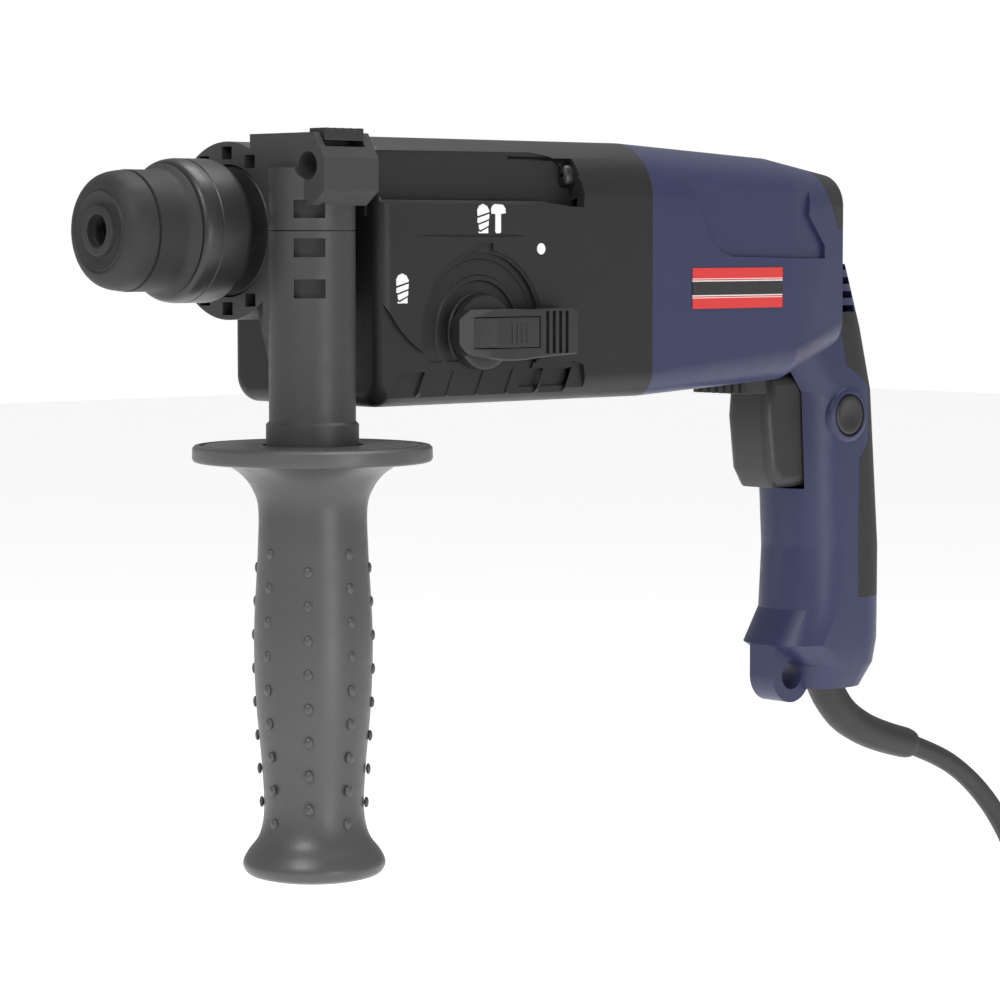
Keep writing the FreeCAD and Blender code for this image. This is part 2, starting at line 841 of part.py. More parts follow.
def make_bearing_flange():
    """The aluminium plate between gears and motor, with the spindle's rear cradle."""
    low, high, radii = body_section(size.housing_wall)
    plate = padded("flange_plate", "YZ_Plane", size.flange_start, size.flange_width,
                   draw_rounded, low, high, radii)
    inner = size.tube_radius + 4
    cradle = tube("cradle_ring", size.tube_end - 11, size.tube_end - 2, inner, inner + 3.4)
    bridge = box("cradle_bridge", (size.tube_end - 11, -9, inner),
                 (size.flange_start + 1, 9, inner + 4))
    tools = [
        rod("motor_seat", (size.flange_start - 1, 0, size.motor_z),
            size.race_width + 1, size.front_race),
        rod("counter_seat", (size.flange_start - 1, 0, size.counter_z),
            size.race_width + 1, size.counter_race),
        rod("motor_way", (size.flange_start - 1, 0, size.motor_z),
            size.flange_width + 2, size.motor_shaft + 1.5),
    ]
    tools += corner_rods("flange_way", size.flange_start - 1, size.flange_width + 2,
                         size.screw_radius + 0.2)
    finish(cut("bearing_flange", fused("flange_blank", [plate, cradle, bridge]), tools),
           "bearing_flange")


def barrel(name, inset):
    """The motor barrel from the seam back to the rear end, drawn in by an inset."""
    def station(x, half, bottom, top, low_radius, high_radius):
        return (x, (-half + inset, bottom + inset), (half - inset, top - inset),
                (low_radius - inset, high_radius - inset))
    return lofted(name, "YZ_Plane", [
        station(size.seam_x + inset, size.body_half_width, size.body_bottom, size.body_top,
                size.body_bottom_radius, size.body_top_radius),
        station(size.mid_x, size.mid_half_width, size.mid_bottom, size.mid_top,
                size.body_bottom_radius + 3, size.body_top_radius),
        station(size.hip_x, size.hip_half_width, size.hip_bottom, size.hip_top,
                size.body_bottom_radius + 3, size.body_bottom_radius + 3),
        station(size.rear_x - inset, size.rear_half_width, size.rear_bottom, size.rear_top,
                size.rear_radius, size.rear_radius),
    ])


def hand_grip(name, inset):
    """The pistol grip from the barrel down to the lead's flange."""
    def station(z, front, back, half, radius):
        return (z, (front + inset, -half + inset), (back - inset, half - inset),
                (radius - inset, radius - inset))
    half = size.grip_half_width
    return lofted(name, "XY_Plane", [
        station(size.flange_z + inset, size.base_front + 17, size.grip_back - 8, half - 4, 13),
        station(size.base_z, size.base_front + 15, size.grip_back - 2.5, half - 1, 15),
        station(size.base_z + 9, size.base_front, size.grip_back - 0.8, half, 16),
        station(size.base_z + 22, size.grip_front - 1.5, size.grip_back, half, 17),
        station(-120, size.grip_front, size.grip_back, half, 17),
        station(-60, size.grip_front - 3, size.grip_back - 5.5, half + 0.5, 17),
        station(-36, size.grip_front - 22, size.grip_back - 12, half + 0.5, 17),
        station(-12, size.grip_front - 26, size.grip_back - 19, half - 1.5, 16),
    ])


def rear_region(name):
    """The side view of all that belongs to the rear cover."""
    outline = [(size.mid_x, 45), (size.mid_x, 27), (size.mid_x + 11, 16), (size.mid_x + 9, 6),
               (size.mid_x + 21, -5), (size.mid_x + 22, -24), (size.mid_x + 16, -32),
               (size.grip_front + 10, -34), (size.grip_front + 16, -52),
               (size.grip_front + 18.5, -84), (size.grip_front + 21, -96),
               (size.grip_front + 23, size.base_z), (size.grip_front + 23, size.flange_z - 10)]
    outline += [(size.grip_back + 30, size.flange_z - 10), (size.grip_back + 30, 45)]
    return side_slab(name, outline, -60, 60)


def make_shells():
    """Motor housing with the front of the grip, rear cover and its rubber pads."""
    outer = fused("shell_outer", [barrel("barrel_outer", 0), hand_grip("grip_outer", 0)])
    inner = fused("shell_inner", [barrel("barrel_inner", size.shell_wall),
                                  hand_grip("grip_inner", size.shell_wall)])
    under = fused("shell_under", [barrel("barrel_under", size.pad_depth),
                                  hand_grip("grip_under", size.pad_depth)])
    skin = cut("shell_skin", outer, [under])
    web_area = side_slab("web_area", [
        (size.mid_x + 22, 24), (size.rear_x + 20, 24), (size.rear_x + 20, 0),
        (size.mid_x + 31, 1), (size.mid_x + 24, 14)], -60, 60)
    grip_area = side_slab("grip_area", [
        (size.grip_back - 35, -30), (size.grip_back + 20, -30), (size.grip_back + 20, -139),
        (size.grip_back - 21.5, -139), (size.grip_back - 22, -107), (size.grip_back - 22, -86),
        (size.grip_back - 16.5, -80), (size.grip_back - 16.5, -58),
        (size.grip_back - 30, -50)], -60, 60)
    web_pad = common("web_pad", skin, web_area)
    grip_pad = common("rear_grip_pad", skin, grip_area)

    eyelet_x = size.base_front + size.eyelet_radius
    eyelet_y = size.eyelet_half_width
    eyelet = fused("eyelet", [
        rod("eyelet_disc", (eyelet_x, -eyelet_y, size.eyelet_z), 2 * eyelet_y,
            size.eyelet_radius, "Y"),
        box("eyelet_root", (size.base_front, -eyelet_y, size.eyelet_z),
            (size.base_front + 2 * size.eyelet_radius, eyelet_y, size.eyelet_z + 12)),
    ])
    reach = size.grip_half_width + 1
    hole = rod("eyelet_way", (eyelet_x, -reach, size.eyelet_z), 2 * reach, size.eyelet_hole,
               "Y")
    stator_bore = rod("stator_seat", (size.seam_x - 1, 0, size.motor_z),
                      size.core_end + 8 - size.seam_x, size.stator_radius)
    bosses = corner_rods("thread_boss", size.seam_x, 26, size.screw_boss - 2)
    trigger_way = box("trigger_way", (size.trigger_front - 4, -size.trigger_half_width - 0.5,
                                      size.trigger_bottom - 0.8),
                      (size.grip_front + 8, size.trigger_half_width + 0.5,
                       size.trigger_top + 0.8))
    lever_way = rod("lever_way", (size.switch_x, 0, size.trigger_top - 5), 12,
                    size.pivot_radius + size.run_fit, "Z")
    button_way = rod("button_way", (size.button_x, -size.grip_half_width - 8, size.button_z),
                     18, size.button_radius + size.run_fit, "Y")
    relief_way = rod("relief_way", (size.relief_x, 0, size.flange_z - 4), 12,
                     size.relief_root + 1.9, "Z")
    slots = []
    for number in range(5):
        middle = -7.6 - 5.3 * number
        for side in (-60, 9):
            slots.append(box("vent_%d_%d" % (number, side),
                             (size.hip_x + 1, side, middle - 1.3),
                             (size.rear_x + 2, side + 51, middle + 1.3)))

    holes = [trigger_way, lever_way, button_way, relief_way, hole]
    ribs_inside = common("ribs_inside", inner, fused("inner_ribs", bosses))
    rear = rear_region("rear_region")
    shell = fused("shell_solid", [cut("shell_wall", outer, [inner]), eyelet, ribs_inside])
    front = cut("motor_shell", shell, [rear, stator_bore, web_pad, grip_pad] + holes
                + corner_rods("thread_way", size.seam_x - 1, 20, size.screw_radius))
    finish(fused("motor_housing", [front, make_brush_cage(barrel("cage_room", size.shell_wall))]),
           "motor_housing")
    screw_ways = cover_screw_rods("cover_way", 0.3)
    rear_shell = cut("cover_shell", common("cover_blank", cut("cover_wall", outer, [inner]),
                                           rear_region("cover_region")),
                     [web_pad, grip_pad, button_way, relief_way] + slots + screw_ways)
    finish(rear_shell, "handle_cover")
    finish(cut("web_pad_piece", web_pad, slots), "web_pad")
    finish(cut("grip_pad_piece", grip_pad, [button_way] + screw_ways), "rear_grip_pad")
    layer = cut("label_layer", barrel("label_outer", -0.35), [barrel("label_under", 0)])
    window = box("label_window", (size.label_start, -60, size.label_z - 7.2),
                 (size.label_start + 48, -20, size.label_z + 7.2))
    finish(common("side_label", layer, window), "side_label")


def make_brush_cage(room):
    """The still tube round the brushes, with the motor's rear bearing in its end."""
    inner, outer = size.cage_radius, size.cage_radius + 2.7
    start, race = size.core_end + 8, size.motor_back - size.race_width
    collar = common("cage_collar", room, ring_at_motor("cage_plate", start, start + 3,
                                                       inner, 60))
    walls = [ring_at_motor("cage_tube", start, race + 5, inner, outer),
             ring_at_motor("cage_end", race, race + 5, size.front_race - 1.3, outer)]
    return fused("brush_cage", [collar] + walls)


def ring_at_motor(name, start, end, inner, outer):
    ring = tube(name, start, end, inner, outer)
    bind(ring, "Placement.Base.z", size.motor_z)
    return ring


def cover_screw_rods(name, spare):
    """Heads and shanks of the three cover screws, driven in from the far side."""
    rods = []
    for number, (x, y, z) in enumerate(((347, 16.5, -100), (350, 16.3, -148), (318, 27.3, -18))):
        rods.append(rod("%s_head_%d" % (name, number), (x, y, z), 2 + 20 * spare,
                        3.4 + spare, "Y"))
        rods.append(rod("%s_shank_%d" % (name, number), (x, y - 12, z), 12.2, 1.8 + spare, "Y"))
    return rods


# ------------------------------------------------------------------------ controls
def make_controls():
    """Trigger, direction lever, lock-on button and the switch behind them."""
    top, bottom = size.trigger_top, size.trigger_bottom
    blade = side_slab("trigger_blade", [
        (size.trigger_front + 1.5, top), (size.trigger_back, top), (size.trigger_back, bottom),
        (size.trigger_front + 7, bottom), (size.trigger_front + 2.5, bottom + 7),
        (size.trigger_front, top - 16)], -size.trigger_half_width, size.trigger_half_width)

    def outer_rim(edge):
        reach = edge.BoundBox
        flat = reach.YMax - reach.YMin < 0.01
        return flat and reach.XMin < float(size.trigger_back) - 1

    finish(rounded_edges(blade, 4.5, outer_rim), "trigger")
    finish(side_slab("switch_body", [
        (size.trigger_back + 7.3, -46), (size.trigger_back + 25, -46),
        (size.trigger_back + 25, -94), (size.trigger_back + 7.3, -94)], -8, 8), "switch_body")

    plate = box("lever_plate", (-5, -14, -5.5), (5, 14, 0))
    ribs = [box("lever_rib_%d" % number, (-5.8, -14 + 4 * number, -5.5), (-5, -12 + 4 * number, 0))
            for number in range(7)]
    pivot = rod("lever_pivot", (0, 0, -1), 9, size.pivot_radius, "Z")
    finish(fused("direction_lever", [plate, pivot] + ribs), "direction_lever",
           x=size.switch_x, z=size.trigger_top - 1.4)

    face = -size.grip_half_width - 1.8
    back = -size.trigger_half_width - size.button_travel - size.gap
    finish(turned("lock_button", [
        (back, 0), (back, size.button_radius), (face + 1.2, size.button_radius),
        (face, size.button_radius - 1.2), (face, 0)], "Y"),
        "lock_button", x=size.button_x, z=size.button_z)


def make_mode_knob():
    """The turning mode selector on the near side, with its inlaid release button."""
    floor = -size.body_half_width + size.knob_recess - size.gap
    face = -size.body_half_width - 1.5
    top = -size.body_half_width - size.lever_rise
    disc = turned("knob_disc", [
        (floor, 0), (floor, size.knob_radius), (face + 0.8, size.knob_radius),
        (face, size.knob_radius - 0.8), (face, 0)], "Y")
    spigot = rod("knob_spigot", (0, floor - 0.5, 0), 6, size.knob_spigot, "Y")
    crank = rod("knob_crank", (-5, floor + 5, 0), 6, 2.2, "Y")
    half = size.lever_half_height
    bar = side_slab("knob_bar", [
        (-size.lever_front, -half + 3), (-size.lever_front + 3, -half),
        (size.lever_back - 12, -half - 1.5), (size.lever_back, -half + 4),
        (size.lever_back, half - 2), (size.lever_back - 2, half),
        (-size.lever_front + 3, half), (-size.lever_front, half - 3)],
        top, -size.body_half_width - size.gap)

    def raised_rim(edge):
        reach = edge.BoundBox
        return reach.YMax < float(top) + 0.01

    rounded_edges(bar, 1.4, raised_rim)
    pocket = box("knob_pocket", (-9.8, top - 2, -5.3), (18.8, top + 5, 5.3))
    finish(cut("mode_knob", fused("knob_blank", [disc, spigot, crank, bar]), [pocket]),
           "mode_knob", x=size.knob_x, z=size.knob_z)
    button = box("release_blank", (-9.5, top - 0.5, -5), (18.5, top + 3, 5))
    finish(button, "release_button")
    place(button, x=size.knob_x - 9.5, y=top - 0.5, z=size.knob_z - 5)


# --------------------------------------------------------------------- side handle
def half_space(name, low_z, high_z):
    return box(name, (size.ring_front - 20, -90, low_z), (size.ring_front + 60, 60, high_z))


def make_side_handle():
    """Two clamp jaws with the upright post, the stud through it, and the turning grip."""
    split = size.gap / 2
    ring = tube("jaw_ring", size.ring_front, size.ring_front + size.ring_width,
                size.collar_radius + size.run_fit, size.ring_radius)
    mouth = rod("jaw_mouth", (size.ring_front - 10, 0, 0), 60,
                size.collar_radius + size.run_fit)
    post_at = (size.post_x, size.post_y)
    stud_way = rod("stud_way", (*post_at, size.post_bottom - 1),
                   size.block_top - size.post_bottom + 2, size.stud_radius + 0.3, "Z")
    head_way = rod("head_way", (*post_at, 11.7), 30, 7.3, "Z")
    windows = []
    for number, (low, high) in enumerate(((4, 9.7), (-8.4, -2.4), (-21.4, -15.4))):
        window = box("post_window_%d" % number, (0, 0, 0), (6, 10, high - low))
        window.Placement.Rotation = FreeCAD.Rotation(Vector(0, 0, 1), 47)
        offset = (-math.cos(math.radians(47)) * 15 + math.sin(math.radians(47)) * 5,
                  -math.sin(math.radians(47)) * 15 - math.cos(math.radians(47)) * 5)
        bind(window, "Placement.Base.x", size.post_x + offset[0])
        bind(window, "Placement.Base.y", size.post_y + offset[1])
        bind(window, "Placement.Base.z", low)
        windows.append(window)
    pockets = []
    for number, angle in enumerate((62, 90, 118, 242, 270, 298)):
        y, z = 25.2 * math.cos(math.radians(angle)), 25.2 * math.sin(math.radians(angle))
        pockets.append(box("ring_pocket_%d" % number, (size.ring_front - 1, y - 2.6, z - 2.1),
                           (size.ring_front + 8, y + 2.6, z + 2.1)))

    front, back = size.ring_front, size.ring_front + size.ring_width + 2.6
    block = padded("depth_block", "YZ_Plane", front, back - front, draw_polygon, [
        (size.block_outer, 12.5), (size.block_outer + 6, 8), (-12, 8), (-12, size.block_top),
        (size.block_outer + 5, size.block_top), (size.block_outer, size.block_top - 8)])
    stub = rod("upper_post", (*post_at, 0), 20, size.post_radius, "Z")
    bore = rod("depth_bore", (front - 6, size.stop_y, size.stop_z), 46, size.stop_bore)
    seat = box("stop_pocket", (size.post_x - 8.3, size.block_outer + 2.2, 26.2),
               (size.post_x + 8.3, size.block_outer + 10.8, 40))
    upper = common("upper_half", fused("upper_blank", [ring, block, stub]),
                   half_space("above_split", split, 60))
    finish(cut("clamp_upper_jaw", upper, [mouth, stud_way, head_way, bore, seat]
               + windows[:1] + pockets[:3]), "clamp_upper_jaw")

    post = turned("lower_post", [
        (size.post_bottom, 0), (size.post_bottom, size.post_radius + 1),
        (size.post_bottom + 7, size.post_radius + 1), (size.post_bottom + 8, size.post_radius),
        (5, size.post_radius), (5, 0)], "Z")
    bind(post, "Placement.Base.x", size.post_x)
    bind(post, "Placement.Base.y", size.post_y)
    gusset = padded("post_gusset", "YZ_Plane", size.post_x - 3, 6, draw_polygon, [
        (-6, -27), (-17, -58), (size.post_y, -58), (size.post_y, -10)])
    cheek = padded("post_cheek", "YZ_Plane", front, 14, draw_polygon, [
        (size.post_y + 12, 0), (size.post_y + 12, -34), (size.post_y - 3, -34),
        (size.post_y - 3, 0)])
    lower = common("lower_half", fused("lower_blank", [ring, post, gusset, cheek]),
                   half_space("below_split", -90, -split))
    finish(cut("clamp_lower_jaw", lower, [mouth, stud_way] + windows[1:] + pockets[3:]),
           "clamp_lower_jaw")

    stud_end = size.disc_top - 26
    stud = rod("stud_shank", (0, 0, stud_end), 12 - stud_end, size.stud_radius, "Z")
    head = padded("stud_head", "XY_Plane", 12, 6, draw_polygon,
                  [(7 * math.cos(math.radians(60 * n)), 7 * math.sin(math.radians(60 * n)))
                   for n in range(6)])
    finish(fused("clamp_stud", [stud, head]), "clamp_stud", x=size.post_x, y=size.post_y)

    top = size.disc_top
    low = top - size.disc_width
    handle_end = size.handle_bottom
    grip = turned("side_grip", [
        (top, size.post_radius + 2.2), (top, size.disc_radius - 1.5),
        (top - 1.5, size.disc_radius), (low + 1.2, size.disc_radius),
        (low, size.disc_radius - 1.2), (low, 28), (low - 3, 24), (low - 9, 19.2),
        (low - 16, 17.2), (low - 30, 18.2), (low - 56, 19.3), (low - 78, 18.6),
        (handle_end + 37, 16.9), (handle_end + 21, 16.25), (handle_end + 13, 18),
        (handle_end + 8, 21.5), (handle_end + 5.5, 23), (handle_end + 3.5, 23),
        (handle_end + 1, 21), (handle_end, 17), (handle_end, 0),
        (stud_end - 1, 0), (stud_end - 1, size.stud_radius + size.run_fit),
        (size.post_bottom - 0.4, size.stud_radius + size.run_fit),
        (size.post_bottom - 0.4, size.post_radius + 2.2)], "Z")
    finish(grip, "side_grip", x=size.post_x, y=size.post_y)

    button = box("depth_stop_button", (0, 0, 0), (16, 8, 4))
    finish(button, "depth_stop_button", x=size.post_x - 8, y=size.block_outer + 2.5, z=28.4)


def make_fasteners():
    """Housing screws, cover screws and the clamp bar that holds the lead."""
    heads = []
    for number, (head, shank) in enumerate(zip(
            corner_rods("head", size.screw_head_x, 4, size.screw_head_radius),
            corner_rods("shank", size.screw_head_x, size.screw_length, size.screw_radius))):
        drive = box("drive_%d" % number, (0, -0.6, -2.6), (1.4, 0.6, 2.6))
        cross = box("cross_%d" % number, (0, -2.6, -0.6), (1.4, 2.6, 0.6))
        for item, letter_offsets in ((drive, (-0.6, -2.6)), (cross, (-2.6, -0.6))):
            bind(item, "Placement.Base.x", size.screw_head_x - 0.2)
            side = -1 if number % 2 == 0 else 1
            height = size.screw_top_z if number < 2 else size.screw_low_z
            bind(item, "Placement.Base.y", side * size.screw_y + letter_offsets[0])
            bind(item, "Placement.Base.z", height + letter_offsets[1])
        heads.append(cut("body_screw_%d" % number, fused("screw_%d" % number, [head, shank]),
                         [drive, cross]))
    finish(grouped("body_screws", heads), "body_screws")
    rods = cover_screw_rods("cover_screw", 0)
    pairs = [fused("cover_screw_%d" % number, rods[2 * number:2 * number + 2])
             for number in range(3)]
    finish(grouped("cover_screws", pairs), "cover_screws")
    bar = box("clamp_bar", (size.relief_x - 8, -11, -160), (size.relief_x + 8, 11, -156))
    pins = [rod("clamp_pin_%d" % side, (size.relief_x, side * 8, -161), 8, 1.6, "Z")
            for side in (-1, 1)]
    finish(fused("cord_clamp", [bar] + pins), "cord_clamp")


# ---------------------------------------------------------------------- mains lead
COIL_CENTRE = (478.7, 0, -384)
# the lead's points are given for a base at -165 and move down or up with it
CORD_DROP = size.base_z + 165
# leaves the sleeve, droops, and swings into the top of the hanging coil
LEAD_ROUTE = [
    (396.0, 0, -202.7), (414.0, 0, -208.9), (430.6, 0, -218.1), (445.3, 0, -230.1),
    (457.8, 0, -244.4), (467.6, 0, -260.7), (474.4, 0, -278.4), (478.0, 0, -297.1),
    (478.7, 0, -311.0), (476.2, 0, -324.5), (468.9, 0, -336.6), (457.2, 0, -345.6),
]
# leaves the coil's far face and hangs down beside it to the plug
TAIL_ROUTE = [
    (474.9, 8.0, -340.2), (461.0, 13.5, -341.5), (449.0, 20.5, -347.0),
    (441.0, 26.5, -357.0), (437.8, 30.2, -369.0), (437.3, 31.5, -382.0),
]
# stations of the strain relief: x, z and its heading below the horizontal
RELIEF_STATIONS = [
    (341.4, -166.6, 66), (345.0, -174.0, 60), (353.1, -184.6, 44), (362.7, -191.3, 30),
    (372.5, -195.8, 21.5), (387.0, -200.4, 16), (396.0, -202.7, 15.5),
]


def placed_shape(name, shape, label):
    """A piece of the lead whose shape is made directly; it hangs from the grip's base."""
    item = doc.addObject("Part::Feature", name)
    item.Shape = shape
    return finish(item, label, z=CORD_DROP)


def round_tube(route, radius):
    """Straight runs joined by the largest tangent arcs that the runs allow."""
    points = [Vector(*point) for point in route]
    edges, radii = [], []
    last = points[0]
    for before, corner, after in zip(points, points[1:], points[2:]):
        first, second = corner - before, after - corner
        turn = first.getAngle(second)
        reach = 0.45 * min(first.Length, second.Length)
        radii.append(reach / math.tan(turn / 2))
        start = corner - first.normalize() * reach
        stop = corner + second.normalize() * reach
        bulge = (start + stop) / 2 - corner
        middle = corner + bulge.normalize() * (radii[-1] / math.cos(turn / 2) - radii[-1])
        edges += [Part.LineSegment(last, start).toShape(),
                  Part.Arc(start, middle, stop).toShape()]
        last = stop
    edges.append(Part.LineSegment(last, points[-1]).toShape())
    wire = Part.Wire(edges)
    length = sum(edge.Length for edge in edges)
    circle = Part.makeCircle(radius, points[0], points[1] - points[0])
    solid = wire.makePipeShell([Part.Wire([circle])], True, True)
    expected = math.pi * radius ** 2 * length
    print("cord radii %s mm" % ", ".join("%.0f" % value for value in radii))
    print("cord run %.1f mm, volume / (section x length) %.4f"
          % (length, solid.Volume / expected))
    return solid


def make_strain_relief():
    """A tapered rubber sleeve, bent as the lead's weight bends it."""
    last = len(RELIEF_STATIONS) - 1
    rings = []
    for number, (x, z, slope) in enumerate(RELIEF_STATIONS):
        radius = float(size.relief_root + (size.relief_tip - size.relief_root) * (number / last))
        heading = Vector(math.cos(math.radians(slope)), 0, -math.sin(math.radians(slope)))
        rings.append(Part.Wire([Part.makeCircle(radius, Vector(x, 0, z), heading)]))
    sleeve = Part.makeLoft(rings, True, False)
    collar = Part.makeCylinder(float(size.relief_root) + 2.9, 2.5,
                               Vector(float(size.relief_x), 0, -170.8))
    placed_shape("strain_relief", sleeve.fuse(collar), "strain_relief")


def make_lead():
    """The free lead, its tied coil, the tie and the two-pin plug."""
    radius = float(size.cord_radius)
    tubes = [round_tube(route, radius) for route in (LEAD_ROUTE, TAIL_ROUTE)]
    placed_shape("mains_cord", Part.makeCompound(tubes), "mains_cord")

    half = size.coil_half_width
    inner, outer = size.coil_radius - 8.2, size.coil_radius + 8.2
    coil = turned("cord_coil", [
        (-half, inner + 2.5), (-half, outer - 2.5), (-half + 2.5, outer), (half - 2.5, outer),
        (half, outer - 2.5), (half, inner + 2.5), (half - 2.5, inner), (-half + 2.5, inner)],
        "Y")
    x, y, z = COIL_CENTRE
    z = z + CORD_DROP
    finish(coil, "cord_coil", x, y, z)

    strap = box("strap_outer", (inner - 2.2, -half - 1.6, -6), (outer + 1.8, half + 1.6, 6))
    way = box("strap_way", (inner - 0.7, -half - 0.1, -7), (outer + 0.2, half + 0.1, 7))
    tie = cut("cord_tie", strap, [way])
    tie.Placement = FreeCAD.Placement(Vector(), FreeCAD.Rotation(Vector(0, 1, 0), -150))
    finish(tie, "cord_tie", x, y, z)

    x, y, z = TAIL_ROUTE[-1]
    z = z + CORD_DROP
    finish(turned("plug_body", [
        (0, 0), (0, 5.4), (-12, 6.6), (-17, 9), (-22, 14.5), (-27, 17.4), (-38, 18),
        (-40, 17), (-40, 0)], "Z"), "plug_body", x, y, z)
    pins = [rod("plug_pin_%d" % side, (side * 9.5, 0, -59), 19, 2.4, "Z") for side in (-1, 1)]
    finish(grouped("plug_pins", pins), "plug_pins", x, y, z)


# -------------------------------------------------------------------------- build
make_spindle()
make_chuck()
make_bearings()
make_hammer()
make_counter_shaft()
make_armature()
make_field()
make_gear_housing()
make_bearing_flange()
make_shells()
make_controls()
make_mode_knob()
make_side_handle()
make_fasteners()
make_strain_relief()
make_lead()
doc.recompute()

for item in doc.Objects:
    if {"Invalid", "Error"} & set(item.State):
        raise RuntimeError("%s failed: %s" % (item.Name, item.State))
for label, item in nodes.items():
    if item.Shape.isNull() or not item.Shape.isValid() or not item.Shape.Solids:
        raise RuntimeError("%s has no valid solid" % label)

os.makedirs("parts", exist_ok=True)
for label, item in nodes.items():
    item.Shape.exportStep("parts/%s.step" % label)
print("%d nodes written" % len(nodes))
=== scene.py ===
"""Looks of a corded rotary hammer with a swivelling side handle.

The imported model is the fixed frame. Shells, chuck, knob, grip and lead are made here
with finer detail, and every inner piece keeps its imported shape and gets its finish.
Places are given as on the tool's drawing: millimetres behind the nose, across the tool,
and above the spindle axis.
"""
import json
import logging
import math
from dataclasses import dataclass
from enum import Enum
from typing import Sequence

import bpy
from mathutils import Matrix, Vector

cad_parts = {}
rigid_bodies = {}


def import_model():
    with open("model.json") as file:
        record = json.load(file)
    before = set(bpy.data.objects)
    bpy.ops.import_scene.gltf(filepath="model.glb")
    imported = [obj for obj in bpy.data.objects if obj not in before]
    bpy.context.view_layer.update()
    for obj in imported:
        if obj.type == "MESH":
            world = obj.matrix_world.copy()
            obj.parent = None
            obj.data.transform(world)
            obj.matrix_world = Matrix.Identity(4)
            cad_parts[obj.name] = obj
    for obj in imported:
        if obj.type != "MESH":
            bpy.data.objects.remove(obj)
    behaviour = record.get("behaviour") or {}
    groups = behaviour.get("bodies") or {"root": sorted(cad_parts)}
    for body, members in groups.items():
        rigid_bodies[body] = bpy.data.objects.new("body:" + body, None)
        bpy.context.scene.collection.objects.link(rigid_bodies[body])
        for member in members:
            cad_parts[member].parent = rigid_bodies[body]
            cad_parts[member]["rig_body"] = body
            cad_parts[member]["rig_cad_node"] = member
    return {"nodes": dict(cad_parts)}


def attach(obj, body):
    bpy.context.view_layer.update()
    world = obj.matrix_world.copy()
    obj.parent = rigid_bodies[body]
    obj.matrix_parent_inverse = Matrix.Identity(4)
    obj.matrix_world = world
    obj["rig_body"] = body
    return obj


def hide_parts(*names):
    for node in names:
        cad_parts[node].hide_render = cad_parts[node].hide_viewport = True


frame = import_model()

log = logging.getLogger("rotary_hammer")

MM = 0.001
NOSE_X = -341.7
SPINDLE_Z = 115.0
Colour = tuple[float, float, float]
Point = tuple[float, float]
Place = tuple[float, float, float]


def at(x: float, y: float, z: float) -> Vector:
    """A place on the tool's drawing, in the frame's metres."""
    return Vector((x + NOSE_X, y, z + SPINDLE_Z)) * MM


class Way(Enum):
    """The three directions of the drawing."""

    BACK = "x"
    ACROSS = "y"
    UP = "z"

    def vector(self) -> Vector:
        """The direction as a unit vector."""
        return {"x": Vector((1, 0, 0)), "y": Vector((0, 1, 0)), "z": Vector((0, 0, 1))}[self.value]

    def spot(self, flat: Point, along: float) -> Vector:
        """A place from two flat coordinates and one along this direction."""
        a, b = flat
        return {"x": at(along, a, b), "y": at(a, along, b), "z": at(a, b, along)}[self.value]


# ---------------------------------------------------------------- shader arithmetic
class Signal:
    """A node's output that can be used in sums."""

    def __init__(self, paint: "Paint", socket: bpy.types.NodeSocket) -> None:
        """Keeps the socket and the paint that it belongs to."""
        self.paint = paint
        self.socket = socket

    def math(self, operation: str, other: "Signal | float | None" = None, swap: bool = False) -> "Signal":
        """Adds one Math node.

        Args:
            operation: the Math node's operation.
            other: the second value.
            swap: puts the second value first.

        Returns:
            The node's result.
        """
        values = [self] if other is None else [other, self] if swap else [self, other]
        return self.paint.node("ShaderNodeMath", {"operation": operation}, dict(enumerate(values)))

    def __add__(self, other: "Signal | float") -> "Signal":
        """Sum."""
        return self.math("ADD", other)

    def __sub__(self, other: "Signal | float") -> "Signal":
        """Difference."""
        return self.math("SUBTRACT", other)

    def __rsub__(self, other: float) -> "Signal":
        """Difference from a number."""
        return self.math("SUBTRACT", other, swap=True)

    def __mul__(self, other: "Signal | float") -> "Signal":
        """Product."""
        return self.math("MULTIPLY", other)

    def __truediv__(self, other: "Signal | float") -> "Signal":
        """Quotient."""
        return self.math("DIVIDE", other)

    def __gt__(self, other: "Signal | float") -> "Signal":
        """One where this is the greater."""
        return self.math("GREATER_THAN", other)

    def __lt__(self, other: "Signal | float") -> "Signal":
        """One where this is the smaller."""
        return self.math("LESS_THAN", other)

    def __abs__(self) -> "Signal":
        """Size without sign."""
        return self.math("ABSOLUTE")


